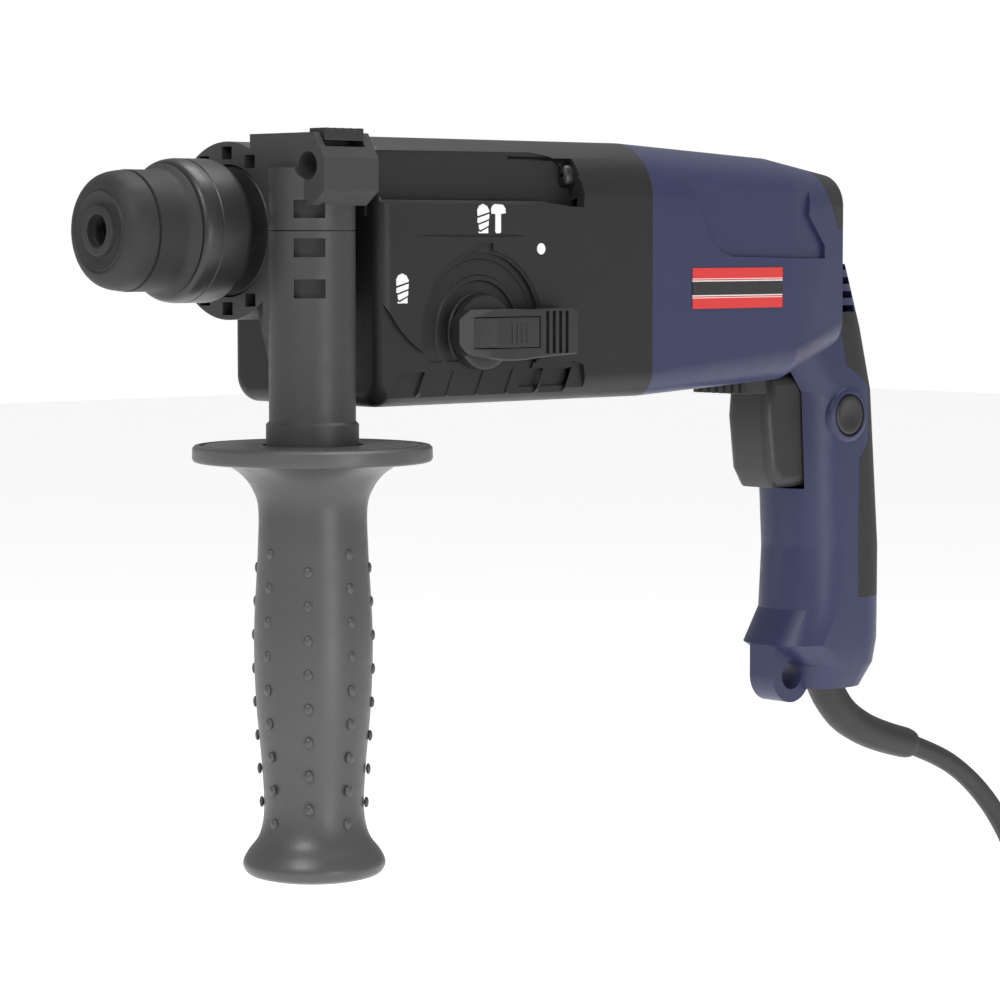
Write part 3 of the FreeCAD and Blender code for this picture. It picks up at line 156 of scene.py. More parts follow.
class Paint:
    """One material under construction."""

    def __init__(self, name: str) -> None:
        """Makes the material with its shader and nothing on it yet."""
        self.material = bpy.data.materials.new(name)
        self.material.use_nodes = True
        self.tree = self.material.node_tree
        self.tree.nodes.clear()
        self.shader = self.tree.nodes.new("ShaderNodeBsdfPrincipled")
        output = self.tree.nodes.new("ShaderNodeOutputMaterial")
        self.tree.links.new(self.shader.outputs[0], output.inputs[0])

    def feed(self, socket: bpy.types.NodeSocket, value: object) -> None:
        """Links a signal to a socket, or sets the socket to a plain value."""
        if isinstance(value, Signal):
            self.tree.links.new(value.socket, socket)
        elif isinstance(value, tuple) and len(value) == 3 and len(socket.default_value) == 4:
            socket.default_value = (*value, 1.0)
        else:
            socket.default_value = value

    def node(self, kind: str, settings: dict, inputs: dict, output: int | str = 0) -> Signal:
        """Adds a node.

        Args:
            kind: the node's type.
            settings: its own properties, set first.
            inputs: values or signals by socket name or number.
            output: which result is wanted.

        Returns:
            That result.
        """
        made = self.tree.nodes.new(kind)
        for name, value in settings.items():
            setattr(made, name, value)
        for name, value in inputs.items():
            self.feed(made.inputs[name], value)
        return Signal(self, made.outputs[output])

    def dress(self, **values: object) -> None:
        """Sets the shader's sockets, with _ for each space in a socket's name."""
        for name, value in values.items():
            self.feed(self.shader.inputs[name.replace("_", " ")], value)

    def spot(self, stretch: Place = (1.0, 1.0, 1.0)) -> Signal:
        """The place on the piece, stretched along each direction."""
        coordinates = self.node("ShaderNodeTexCoord", {}, {}, "Object")
        return self.node("ShaderNodeMapping", {}, {"Vector": coordinates, "Scale": stretch})

    def axis(self, letter: str) -> Signal:
        """One coordinate of the place, in millimetres of the frame."""
        coordinates = self.node("ShaderNodeTexCoord", {}, {}, "Object")
        return self.node("ShaderNodeSeparateXYZ", {}, {"Vector": coordinates}, letter.upper()) * 1000.0

    def noise(self, size_mm: float, detail: float = 2.0, stretch: Place = (1.0, 1.0, 1.0)) -> Signal:
        """Even noise whose blobs are about size_mm across."""
        return self.node("ShaderNodeTexNoise", {}, {
            "Vector": self.spot(stretch), "Scale": 1000.0 / size_mm, "Detail": detail}, "Fac")

    def blend(self, share: "Signal | float", first: "Signal | Colour", second: "Signal | Colour") -> Signal:
        """A colour between two, by share."""
        made = self.tree.nodes.new("ShaderNodeMix")
        made.data_type = "RGBA"
        for socket, value in ((0, share), (6, first), (7, second)):
            self.feed(made.inputs[socket], value)
        return Signal(self, made.outputs[2])

    def relief(self, height: Signal, depth_mm: float) -> Signal:
        """Bump from a height between 0 and 1 that stands for depth_mm."""
        return self.node("ShaderNodeBump", {}, {
            "Height": height, "Distance": depth_mm * MM, "Strength": 1.0})


def shade(colour: Colour, factor: float) -> Colour:
    """A colour made lighter or darker."""
    return tuple(min(1.0, channel * factor) for channel in colour)


# ------------------------------------------------------------------------- finishes
@dataclass(frozen=True)
class Moulded:
    """Moulded plastic or rubber with a fine eroded grain and slight mottling."""

    name: str
    slot: str
    colour: Colour
    roughness: float
    grain_mm: float = 0.45
    grain_depth: float = 0.035
    mottle: float = 0.16
    specular: float = 0.5

    def build(self) -> bpy.types.Material:
        """Makes the material."""
        paint = Paint(self.name)
        grain = paint.noise(self.grain_mm, 3.0)
        cloud = paint.noise(24.0, 3.0)
        rubbed = paint.noise(6.0, 5.0, (0.5, 1.0, 1.6))
        tone = (cloud - 0.5) * self.mottle * 2.0 + (grain - 0.5) * 0.5 + 0.5
        paint.dress(
            Base_Color=paint.blend(tone, shade(self.colour, 0.78), shade(self.colour, 1.3)),
            Roughness=(rubbed - 0.5) * 0.22 + (grain - 0.5) * 0.12 + self.roughness,
            Normal=paint.relief(grain, self.grain_depth),
            Specular_IOR_Level=self.specular,
        )
        return paint.material


@dataclass(frozen=True)
class Turned:
    """Turned or ground metal with fine rings square to the spindle."""

    name: str
    slot: str
    colour: Colour
    roughness: float
    ring_mm: float = 0.25
    depth: float = 0.006

    def build(self) -> bpy.types.Material:
        """Makes the material."""
        paint = Paint(self.name)
        rings = paint.noise(self.ring_mm, 4.0, (1.0, 0.03, 0.03))
        smear = paint.noise(9.0, 4.0)
        paint.dress(
            Base_Color=paint.blend(smear, shade(self.colour, 0.82), shade(self.colour, 1.1)),
            Metallic=1.0,
            Roughness=(rings - 0.5) * 0.25 + (smear - 0.5) * 0.2 + self.roughness,
            Normal=paint.relief(rings, self.depth),
        )
        return paint.material


@dataclass(frozen=True)
class Cast:
    """Die-cast light alloy with a dull pebbled skin."""

    name: str
    slot: str
    colour: Colour

    def build(self) -> bpy.types.Material:
        """Makes the material."""
        paint = Paint(self.name)
        pebble = paint.noise(0.9, 4.0)
        stain = paint.noise(14.0, 3.0)
        paint.dress(
            Base_Color=paint.blend(stain, shade(self.colour, 0.7), shade(self.colour, 1.1)),
            Metallic=0.9,
            Roughness=(pebble - 0.5) * 0.3 + 0.5,
            Normal=paint.relief(pebble, 0.03),
        )
        return paint.material


@dataclass(frozen=True)
class Laminated:
    """Stacked sheet steel, seen as fine lines along the motor."""

    name: str
    slot: str
    colour: Colour
    sheet_mm: float = 0.5

    def build(self) -> bpy.types.Material:
        """Makes the material."""
        paint = Paint(self.name)
        line = (paint.axis("x") / self.sheet_mm).math("FRACT")
        gap = line < 0.16
        stain = paint.noise(8.0, 3.0)
        body = paint.blend(stain, shade(self.colour, 0.7), shade(self.colour, 1.25))
        paint.dress(
            Base_Color=paint.blend(gap, body, shade(self.colour, 0.25)),
            Metallic=0.85,
            Roughness=stain * 0.2 + 0.4,
            Normal=paint.relief(1.0 - gap, 0.03),
        )
        return paint.material


@dataclass(frozen=True)
class Wound:
    """Enamelled copper wire laid side by side."""

    name: str
    slot: str
    colour: Colour
    wire_mm: float = 0.6

    def build(self) -> bpy.types.Material:
        """Makes the material."""
        paint = Paint(self.name)
        sag = paint.noise(5.0, 2.0)
        strand = ((paint.axis("z") + sag) * (math.tau / self.wire_mm)).math("SINE") * 0.5 + 0.5
        paint.dress(
            Base_Color=paint.blend(strand, shade(self.colour, 0.45), shade(self.colour, 1.15)),
            Metallic=0.7,
            Roughness=0.45 - strand * 0.15,
            Normal=paint.relief(strand, 0.12),
            Coat_Weight=0.3,
        )
        return paint.material


@dataclass(frozen=True)
class PrintedFilm:
    """The side label: two coloured bands, a dark middle band and pale hairlines."""

    name: str
    slot: str
    middle_z: float
    band: Colour = (0.62, 0.03, 0.028)
    core: Colour = (0.016, 0.015, 0.015)
    line: Colour = (0.7, 0.7, 0.68)

    def build(self) -> bpy.types.Material:
        """Makes the material."""
        paint = Paint(self.name)
        height = paint.axis("z") - (self.middle_z + SPINDLE_Z)
        off = abs(height)
        grain = paint.noise(0.35, 3.0)
        red = paint.blend(grain, shade(self.band, 0.88), shade(self.band, 1.08))
        dark = paint.blend(grain, shade(self.core, 0.8), shade(self.core, 1.5))
        face = paint.blend(off > 2.5, dark, red)
        lines = (abs(off - 3.35) < 0.13) + (abs(off - 2.6) < 0.2)
        paint.dress(
            Base_Color=paint.blend(lines, face, self.line),
            Roughness=(grain - 0.5) * 0.1 + 0.34,
            Normal=paint.relief(grain, 0.004),
            Coat_Weight=0.25,
        )
        return paint.material


@dataclass(frozen=True)
class Drawn:
    """White pad-printed marks."""

    name: str
    slot: str

    def build(self) -> bpy.types.Material:
        """Makes the material."""
        paint = Paint(self.name)
        grain = paint.noise(0.4, 2.0)
        paint.dress(
            Base_Color=paint.blend(grain, (0.72, 0.72, 0.71), (0.92, 0.92, 0.91)),
            Roughness=(grain - 0.5) * 0.15 + 0.5,
        )
        return paint.material


BLACK_SHELL = Moulded("black_shell_nylon", "black_housing", (0.014, 0.014, 0.0143), 0.46, specular=0.36)
BLUE_SHELL = Moulded("blue_shell_nylon", "blue_housing", (0.024, 0.029, 0.078), 0.42, mottle=0.1,
    specular=0.42)
RUBBER = Moulded("soft_rubber", "soft_rubber", (0.021, 0.021, 0.0215), 0.62, 0.35, 0.03, 0.2, 0.38)
GRIP_NYLON = Moulded("handle_nylon", "grip_plastic", (0.06, 0.06, 0.061), 0.37, 0.5, 0.05)
CLAMP_NYLON = Moulded("clamp_nylon", "grip_plastic", (0.034, 0.034, 0.035), 0.44, 0.5, 0.045)
CONTROL = Moulded("control_nylon", "control_plastic", (0.018, 0.018, 0.0185), 0.38, 0.4, 0.02)
LEAD_SHEATH = Moulded("lead_sheath", "lead_rubber", (0.022, 0.022, 0.023), 0.5, 0.3, 0.02, 0.2, 0.42)
PLUG_MOULD = Moulded("plug_mould", "plug_plastic", (0.02, 0.02, 0.021), 0.42, 0.45, 0.02)
GROUND_STEEL = Turned("ground_steel", "ground_steel", (0.56, 0.56, 0.57), 0.3)
BLACK_STEEL = Turned("black_oxide_steel", "black_steel", (0.075, 0.075, 0.08), 0.42, 0.4)
DRAWN_BRASS = Turned("drawn_brass", "brass", (0.72, 0.55, 0.26), 0.34)
NICKEL = Turned("nickel_plate", "nickel", (0.74, 0.72, 0.68), 0.22, 0.2, 0.003)
CAST_ALLOY = Cast("cast_alloy", "cast_aluminium", (0.58, 0.58, 0.59))
SHEET_STACK = Laminated("motor_laminations", "black_steel", (0.2, 0.2, 0.21))
COPPER = Wound("copper_winding", "copper", (0.72, 0.34, 0.17))
CARBON = Moulded("pressed_carbon", "carbon", (0.035, 0.035, 0.036), 0.6, 0.3, 0.02)
LABEL = PrintedFilm("label_print", "label_film", -20.0)
WHITE_MARK = Drawn("white_marks", "label_film")

PACKED_FINISHES = {
    "bearing_flange": CAST_ALLOY, "front_seal": RUBBER, "spindle_front_bearing": DRAWN_BRASS,
    "spindle_rear_bearing": DRAWN_BRASS, "counter_front_bearing": GROUND_STEEL,
    "counter_rear_bearing": GROUND_STEEL, "motor_front_bearing": GROUND_STEEL,
    "motor_rear_bearing": GROUND_STEEL, "stator_core": SHEET_STACK, "field_coils": COPPER,
    "brush_holders": DRAWN_BRASS, "carbon_brushes": CARBON, "switch_body": CONTROL,
    "cover_screws": BLACK_STEEL, "cord_clamp": CONTROL, "side_label": LABEL,
    "plug_pins": NICKEL, "spindle": GROUND_STEEL, "spindle_gear": BLACK_STEEL,
    "locking_balls": GROUND_STEEL, "ball_retainer": BLACK_STEEL, "sleeve_spring": BLACK_STEEL,
    "spring_seat": BLACK_STEEL, "piston": CAST_ALLOY, "striker": GROUND_STEEL,
    "striker_ring": RUBBER, "impact_bolt": GROUND_STEEL, "counter_shaft": GROUND_STEEL,
    "counter_gear": BLACK_STEEL, "wobble_hub": GROUND_STEEL, "clutch_sleeve": BLACK_STEEL,
    "wobble_finger": BLACK_STEEL, "motor_shaft": GROUND_STEEL, "armature_core": SHEET_STACK,
    "commutator": COPPER, "cooling_fan": CONTROL, "clamp_stud": BLACK_STEEL,
}


class Finisher:
    """Hands out each finish's material, made once."""

    def __init__(self) -> None:
        """Starts with no material made."""
        self.made: dict[str, bpy.types.Material] = {}

    def coat(self, piece: bpy.types.Object, finish: object) -> None:
        """Gives a piece one finish all over."""
        if finish.name not in self.made:
            self.made[finish.name] = finish.build()
        piece.data.materials.clear()
        piece.data.materials.append(self.made[finish.name])

    def mount(self, piece: bpy.types.Object, finish: object, body: str, *nodes: str) -> bpy.types.Object:
        """Finishes a new piece and lets it ride on its body.

        Args:
            piece: the modelled object.
            finish: its finish.
            body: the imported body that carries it.
            nodes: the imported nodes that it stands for.

        Returns:
            The piece.
        """
        self.coat(piece, finish)
        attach(piece, body)
        if nodes:
            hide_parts(*nodes)
        log.info("%s rides on %s", piece.name, body)
        return piece


# ------------------------------------------------------------------------- modelling
class Bench:
    """The modelling operators, fed with places on the drawing."""

    @staticmethod
    def pick(*pieces: bpy.types.Object) -> None:
        """Selects only these objects, the first one active."""
        if bpy.context.object and bpy.context.object.mode != "OBJECT":
            bpy.ops.object.mode_set(mode="OBJECT")
        bpy.ops.object.select_all(action="DESELECT")
        for piece in pieces:
            piece.select_set(True)
        if pieces:
            bpy.context.view_layer.objects.active = pieces[0]

    @classmethod
    def settled(cls, name: str) -> bpy.types.Object:
        """Names the active object and puts its place into its mesh."""
        piece = bpy.context.object
        piece.name = name
        piece.data.name = name
        bpy.ops.object.transform_apply(location=True, rotation=True, scale=True)
        return piece

    @classmethod
    def block(cls, name: str, low: Place, high: Place) -> bpy.types.Object:
        """A cuboid between two opposite corners."""
        cls.pick()
        first, last = at(*low), at(*high)
        bpy.ops.mesh.primitive_cube_add(size=1, location=(first + last) / 2)
        bpy.context.object.scale = last - first
        return cls.settled(name)

    @classmethod
    def drum(cls, name: str, start: Place, end: Place, radius: float, sides: int) -> bpy.types.Object:
        """A cylinder between two places."""
        cls.pick()
        first, last = at(*start), at(*end)
        run = last - first
        turn = run.to_track_quat("Z", "Y").to_euler()
        bpy.ops.mesh.primitive_cylinder_add(
            vertices=sides, radius=radius * MM, depth=run.length, location=(first + last) / 2,
            rotation=turn)
        return cls.settled(name)

    @classmethod
    def outline(cls, name: str, places: Sequence[Vector], filled: bool) -> bpy.types.Object:
        """A closed flat ring of places, filled or not."""
        cls.pick()
        bpy.ops.mesh.primitive_circle_add(
            vertices=len(places), radius=MM, fill_type="NGON" if filled else "NOTHING")
        piece = bpy.context.object
        for vertex, place in zip(piece.data.vertices, places):
            vertex.co = place
        return cls.settled(name)

    @classmethod
    def slab(cls, name: str, shape: Sequence[Point], way: Way, low: float, high: float) -> bpy.types.Object:
        """A flat outline drawn out between two stations."""
        piece = cls.outline(name, [way.spot(point, low) for point in shape], True)
        cls.pick(piece)
        bpy.ops.object.mode_set(mode="EDIT")
        bpy.ops.mesh.select_all(action="SELECT")
        bpy.ops.mesh.extrude_region_move(
            TRANSFORM_OT_translate={"value": way.vector() * (high - low) * MM})
        bpy.ops.mesh.select_all(action="SELECT")
        bpy.ops.mesh.normals_make_consistent(inside=False)
        bpy.ops.object.mode_set(mode="OBJECT")
        return piece

    @classmethod
    def turned(cls, name: str, profile: Sequence[Point], way: Way, centre: Place, steps: int = 96,
               hollow: bool = False) -> bpy.types.Object:
        """A profile spun round an axis.

        Args:
            name: the piece's name.
            profile: stations along the axis with their radii.
            way: the axis.
            centre: a place on the axis; its own station is ignored.
            steps: facets in a full turn.
            hollow: the profile is a closed ring that doesn't touch the axis.

        Returns:
            The spun piece.
        """
        out = {Way.BACK: Vector((0, 0, 1)), Way.ACROSS: Vector((1, 0, 0)), Way.UP: Vector((1, 0, 0))}[way]
        base = Vector(centre)
        places = []
        for station, radius in profile:
            spot = base + out * radius
            setattr(spot, way.value, station)
            places.append(at(*spot))
        piece = cls.outline(name, places, False)
        cls.pick(piece)
        if not hollow:
            last = len(places) - 1
            closing = [edge for edge in piece.data.edges if set(edge.vertices) == {0, last}]
            for item in (*piece.data.vertices, *piece.data.edges):
                item.select = False
            closing[0].select = True
            bpy.ops.object.mode_set(mode="EDIT")
            bpy.ops.mesh.select_mode(type="EDGE")
            bpy.ops.mesh.delete(type="EDGE")
        bpy.ops.object.mode_set(mode="EDIT")
        bpy.ops.mesh.select_mode(type="VERT")
        bpy.ops.mesh.select_all(action="SELECT")
        bpy.ops.mesh.spin(steps=steps, angle=math.tau, center=at(*centre), axis=way.vector())
        bpy.ops.mesh.select_all(action="SELECT")
        bpy.ops.mesh.remove_doubles(threshold=2e-6)
        bpy.ops.mesh.normals_make_consistent(inside=False)
        bpy.ops.object.mode_set(mode="OBJECT")
        return piece

    @classmethod
    def packed_copy(cls, node: str, name: str) -> bpy.types.Object:
        """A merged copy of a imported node's mesh, to add detail to."""
        piece = frame["nodes"][node].copy()
        piece.data = frame["nodes"][node].data.copy()
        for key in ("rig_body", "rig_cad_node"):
            del piece[key]
        piece.parent = None
        bpy.context.scene.collection.objects.link(piece)
        cls.pick(piece)
        bpy.ops.mesh.customdata_custom_splitnormals_clear()
        bpy.ops.object.mode_set(mode="EDIT")
        bpy.ops.mesh.select_all(action="SELECT")
        bpy.ops.mesh.remove_doubles(threshold=1e-6)
        bpy.ops.mesh.dissolve_limited(angle_limit=math.radians(0.3))
        bpy.ops.object.mode_set(mode="OBJECT")
        return cls.settled(name)

    @classmethod
    def modify(cls, piece: bpy.types.Object, kind: str, **settings: object) -> None:
        """Adds a modifier with its settings and applies it."""
        cls.pick(piece)
        modifier = piece.modifiers.new("step", kind)
        for name, value in settings.items():
            setattr(modifier, name, value)
        bpy.ops.object.modifier_apply(modifier=modifier.name)

    @classmethod
    def carve(cls, piece: bpy.types.Object, *tools: bpy.types.Object,
        joined: bool = False) -> bpy.types.Object:
        """Cuts other solids out of a piece, or joins them to it, and removes them."""
        for tool in tools:
            cls.modify(piece, "BOOLEAN", operation="UNION" if joined else "DIFFERENCE",
                       object=tool, solver="EXACT")
            bpy.data.objects.remove(tool)
        return piece

    @classmethod
    def soften(cls, piece: bpy.types.Object, width: float, segments: int = 2, angle: float = 32.0) -> None:
        """Rounds every edge sharper than an angle."""
        cls.modify(piece, "BEVEL", width=width * MM, segments=segments, limit_method="ANGLE",
                   angle_limit=math.radians(angle), use_clamp_overlap=True)

    @classmethod
    def smooth(cls, piece: bpy.types.Object, angle: float = 34.0) -> bpy.types.Object:
        """Shades gentle edges smooth and keeps the flats flat."""
        cls.pick(piece)
        bpy.ops.object.shade_smooth_by_angle(angle=math.radians(angle))
        cls.modify(piece, "WEIGHTED_NORMAL", keep_sharp=True)
        return piece

    @classmethod
    def gather(cls, name: str, pieces: Sequence[bpy.types.Object]) -> bpy.types.Object:
        """Makes one object of several."""
        cls.pick(*pieces)
        if len(pieces) > 1:
            bpy.ops.object.join()
        return cls.settled(name)

    @classmethod
    def repeat(cls, piece: bpy.types.Object, shift: Place) -> bpy.types.Object:
        """A shifted copy with its own mesh."""
        twin = piece.copy()
        twin.data = piece.data.copy()
        bpy.context.scene.collection.objects.link(twin)
        twin.data.transform(Matrix.Translation(Vector(shift) * MM))
        return twin


def flowing(points: Sequence[Point], steps: int = 5) -> list[Point]:
    """A smooth line through a profile's points.

    Args:
        points: the points to pass through.
        steps: how many pieces each span is cut into.

    Returns:
        The denser line.
    """
    line = []
    ends = [points[0], *points, points[-1]]
    for a, b, c, d in zip(ends, ends[1:], ends[2:], ends[3:]):
        for step in range(steps):
            t = step / steps
            line.append(tuple(
                0.5 * (2 * q + (r - p) * t + (2 * p - 5 * q + 4 * r - s) * t * t
                       + (3 * q - p - 3 * r + s) * t ** 3)
                for p, q, r, s in zip(a, b, c, d)))
    return [*line, points[-1]]


# ----------------------------------------------------------------------------- chuck
@dataclass
class Chuck:
    """The rubber nose cap and the locking sleeve behind it."""

    finisher: Finisher
    cap_radius: float = 19.4
    sleeve_start: float = 26.3
    sleeve_end: float = 45.8
    sleeve_radius: float = 23.2

    def make_cap(self) -> bpy.types.Object:
        """Spins the nose cap with its raised boss and sealing rings."""
        rim = self.cap_radius
        dome = flowing([(1.25, 14.2), (2.2, 16.1), (4.0, 17.8), (6.4, 18.7), (9.4, rim - 0.25)], 4)
        flare = flowing([(21.6, rim), (23.4, rim + 0.45), (25.0, rim + 1.5), (25.9, rim + 2.0)], 4)
        profile = [
            (3.0, 5.2), (0.5, 5.2), (0.05, 5.6), (0.05, 7.3), (0.5, 8.0), (1.9, 8.4), (2.2, 9.0),
            (2.0, 10.6), (1.3, 11.6), (1.15, 12.5), (1.55, 12.9), (1.55, 13.2), (1.15, 13.6), *dome,
            (10.5, rim - 0.2), (10.8, rim - 0.9), (11.3, rim - 0.9), (11.6, rim), *flare,
            (26.0, 20.6), (26.0, 12.0), (3.2, 11.2),
        ]
        piece = Bench.turned("nose_cap", profile, Way.BACK, (0, 0, 0), 128, hollow=True)
        Bench.smooth(piece, 38)
        return self.finisher.mount(piece, RUBBER, "spindle", "dust_cap")

    def make_sleeve(self) -> bpy.types.Object:
        """Spins the locking sleeve with one fine grip groove in its profile."""
        start, end, rim = self.sleeve_start, self.sleeve_end, self.sleeve_radius
        front = flowing([(start, rim - 2.6), (start + 0.7, rim - 1.1), (start + 2.2, rim - 0.35),
            (start + 4.6, rim)], 4)
        profile = [
            (start, 14.6), *front, (start + 6.2, rim), (start + 6.5, rim - 0.35), (start + 6.9, rim - 0.35),
            (start + 7.2, rim), (end - 3.0, rim), (end - 1.2, rim - 0.5), (end - 0.2, rim - 1.5),
            (end, rim - 2.2), (end, 12.65), (end - 1.5, 12.65), (end - 1.5, 19.1), (start + 3, 19.1),
            (start + 3, 14.6),
        ]
        piece = Bench.turned("locking_collar", profile, Way.BACK, (0, 0, 0), 128, hollow=True)
        Bench.smooth(piece, 38)
        return self.finisher.mount(piece, CONTROL, "locking_sleeve", "locking_sleeve")

    def build(self) -> None:
        """Makes the whole chuck."""
        self.make_cap()
        self.make_sleeve()


# ---------------------------------------------------------------------- gear housing
@dataclass
class GearHousing:
    """The black front shell with its side channels, ribs, knob dial and marks."""

    finisher: Finisher
    half_width: float = 38.8
    knob_x: float = 130.0
    knob_z: float = -33.6
    ledge_z: float = -44.0
    channel_depth: float = 7.6
    band_depth: float = 1.3
    cell_depth: float = 2.3
    cell_count: int = 6
    cell_start: float = 88.0
    cell_pitch: float = 13.4
    mark_rise: float = 0.16
    mark_root: float = 0.3

    def side_tool(self, name: str, shape: Sequence[Point], side: int, depth: float) -> bpy.types.Object:
        """A cutter that sinks an outline into one side."""
        inner = self.half_width - depth
        low, high = (-60.0, -inner) if side < 0 else (inner, 60.0)
        return Bench.slab(name, shape, Way.ACROSS, low, high)

    def channel(self, side: int) -> bpy.types.Object:
        """The long recess along the shoulder, which runs out round the upper screw."""
        shape = [(80, 11.8), (160, 10.2), (170, 8.4), (176.6, 8.2), (177.2, 12), (176.4, 16.5),
                 (174.2, 20.2), (170.5, 23.2), (165.5, 25.4), (158, 26.6), (80, 26.2)]
        return self.side_tool("channel", shape, side, self.channel_depth)

    def channel_foot(self, side: int) -> bpy.types.Object:
        """The sloping foot of the channel."""
        half = self.half_width
        rise = flowing([(side * (half - 7.6), 17.0), (side * (half - 6.6), 14.2),
                        (side * (half - 5.0), 11.6),
                        (side * (half - 2.8), 9.7), (side * (half + 1), 8.6)], 4)
        return Bench.slab("channel_foot", [*rise, (side * (half + 1), 17.0)], Way.BACK, 86, 166)

    def backing(self, side: int) -> list[bpy.types.Object]:
        """The inner walls that close the recesses from behind."""
        sections = (("upper_backing", 84, 179, [(29.2, 5), (31.9, 5), (31.9, 23), (29.2, 26.5)]),
                    ("lower_backing", 88, 171, [(33.2, -10), (35.6, -10), (35.6, -53), (33.2, -51)]))
        return [Bench.slab(name, [(side * y, z) for y, z in section], Way.BACK, first, last)
                for name, first, last, section in sections]

    def lower_band(self, side: int) -> list[bpy.types.Object]:
        """The set-back band under the ledge and the slanted cells between its ribs."""
        edge = flowing([(76, -12), (85.7, -22.4), (94, -32.8), (104, -40.0), (116.5, -44.6), (124, -46.4),
                        (130.5, -45.2), (137.5, -44.2), (150, -44.1)], 3)
        band = self.side_tool("band", [*edge, (172, -44.1), (176.6, -45.4), (177.4, -50), (177.2, -70),
                              (76, -70)], side, self.band_depth)
        cells = []
        for number in range(self.cell_count):
            x = self.cell_start + self.cell_pitch * number
            cells.append(self.side_tool(
                "cell", [(x + 0.6, -56.6), (x + 12.4, -56.6), (x + 17.2, -46.2), (x + 5.4, -46.2)],
                side, self.cell_depth))
        return [band, *cells]

    def dial(self) -> list[bpy.types.Object]:
        """The arcs stepped into the dial round the knob, its stop tab and the groove above."""
        centre = (self.knob_x, 0, self.knob_z)
        steps = []
        for outer, inner, depth in ((27.6, 26.0, 0.7), (24.6, 18.8, 2.5), (17.4, 12.9, 2.9)):
            floor = depth - self.half_width
            step = Bench.turned("dial_step", [
                (-60, outer), (floor - 0.5, outer), (floor, outer - 0.5), (floor, inner + 0.5),
                (floor - 0.5, inner), (-60, inner)], Way.ACROSS, centre, 96, hollow=True)
            below = Bench.block("below_dial", (90, -70, -70), (170, 0, self.ledge_z + 0.8))
            steps.append(Bench.carve(step, below))
        tab = Bench.block("dial_tab", (126.5, -45, -6.6), (134.5, -38.1, -4.0))
        groove = Bench.slab("dial_groove",
                            [(101, -1.4), (110, -1.0), (140, -1.0), (150, -1.5), (140, -1.9), (110, -1.9)],
                            Way.ACROSS, -45, -38.3)
        return [*steps, tab, groove]

    def drill_mark(self, x: float, z: float) -> list[bpy.types.Object]:
        """A drill bit drawn as slanted flutes."""
        width, face = 5.4, -self.half_width
        flutes = [
            [(0.9, 9.0), (2.6, 9.6), (4.4, 8.9), (width, 7.4), (width, 6.9), (0.2, 5.6), (0.0, 7.6)],
            [(0.2, 4.9), (width, 6.3), (width - 0.1, 4.6), (0.6, 3.2), (0.1, 3.5)],
            [(0.6, 2.6), (width - 0.2, 4.0), (width - 0.3, 2.4), (1.4, 0.9), (0.9, 1.2)],
            [(0.6, 0.5), (1.6, 0.3), (width - 0.5, 1.8), (width - 0.5, -0.1), (0.7, -0.1)],
        ]
        return [Bench.slab("flute", [(x + a, z + b) for a, b in flute], Way.ACROSS,
                face - self.mark_rise, face + self.mark_root)
                for flute in flutes]

    def marks(self) -> bpy.types.Object:
        """The white mode marks round the knob."""
        face = -self.half_width
        hammer = Bench.slab("hammer_mark", [(x + 136.2, z - 0.6) for x, z in (
            (-2.2, 9.0), (-1.0, 9.6), (2.6, 9.4), (3.7, 8.2), (3.9, 6.6), (1.7, 6.3), (1.7, 0.3),
            (1.2, -0.1), (-0.4, -0.1), (-0.8, 0.3), (-0.8, 6.3), (-2.6, 6.4), (-2.7, 8.0))], Way.ACROSS,
            face - self.mark_rise, face + self.mark_root)
        front, back = face - self.mark_rise, face + self.mark_root
        dot = Bench.drum("dot_mark", (156.5, front, -5.9), (156.5, back, -5.9), 1.9, sides=24)
        tick = Bench.drum("tick_mark", (171.6, front, -31.2), (171.6, back, -31.2), 0.85, sides=16)
        drills = self.drill_mark(127.2, -0.6) + self.drill_mark(91.4, -23.4)
        return Bench.gather("mode_marks", [hammer, dot, tick, *drills])

    def build(self) -> None:
        """Makes the shell and its marks."""
        shell = Bench.packed_copy("gear_housing", "front_shell")
        Bench.carve(shell, *self.backing(-1), *self.backing(1), joined=True)
        for side in (-1, 1):
            Bench.carve(shell, self.channel(side), self.channel_foot(side), *self.lower_band(side))
        Bench.carve(shell, *self.dial())
        Bench.soften(shell, 0.5, 2, 28)
        Bench.smooth(shell)
        self.finisher.mount(shell, BLACK_SHELL, "root", "gear_housing")
        self.finisher.mount(self.marks(), WHITE_MARK, "root")


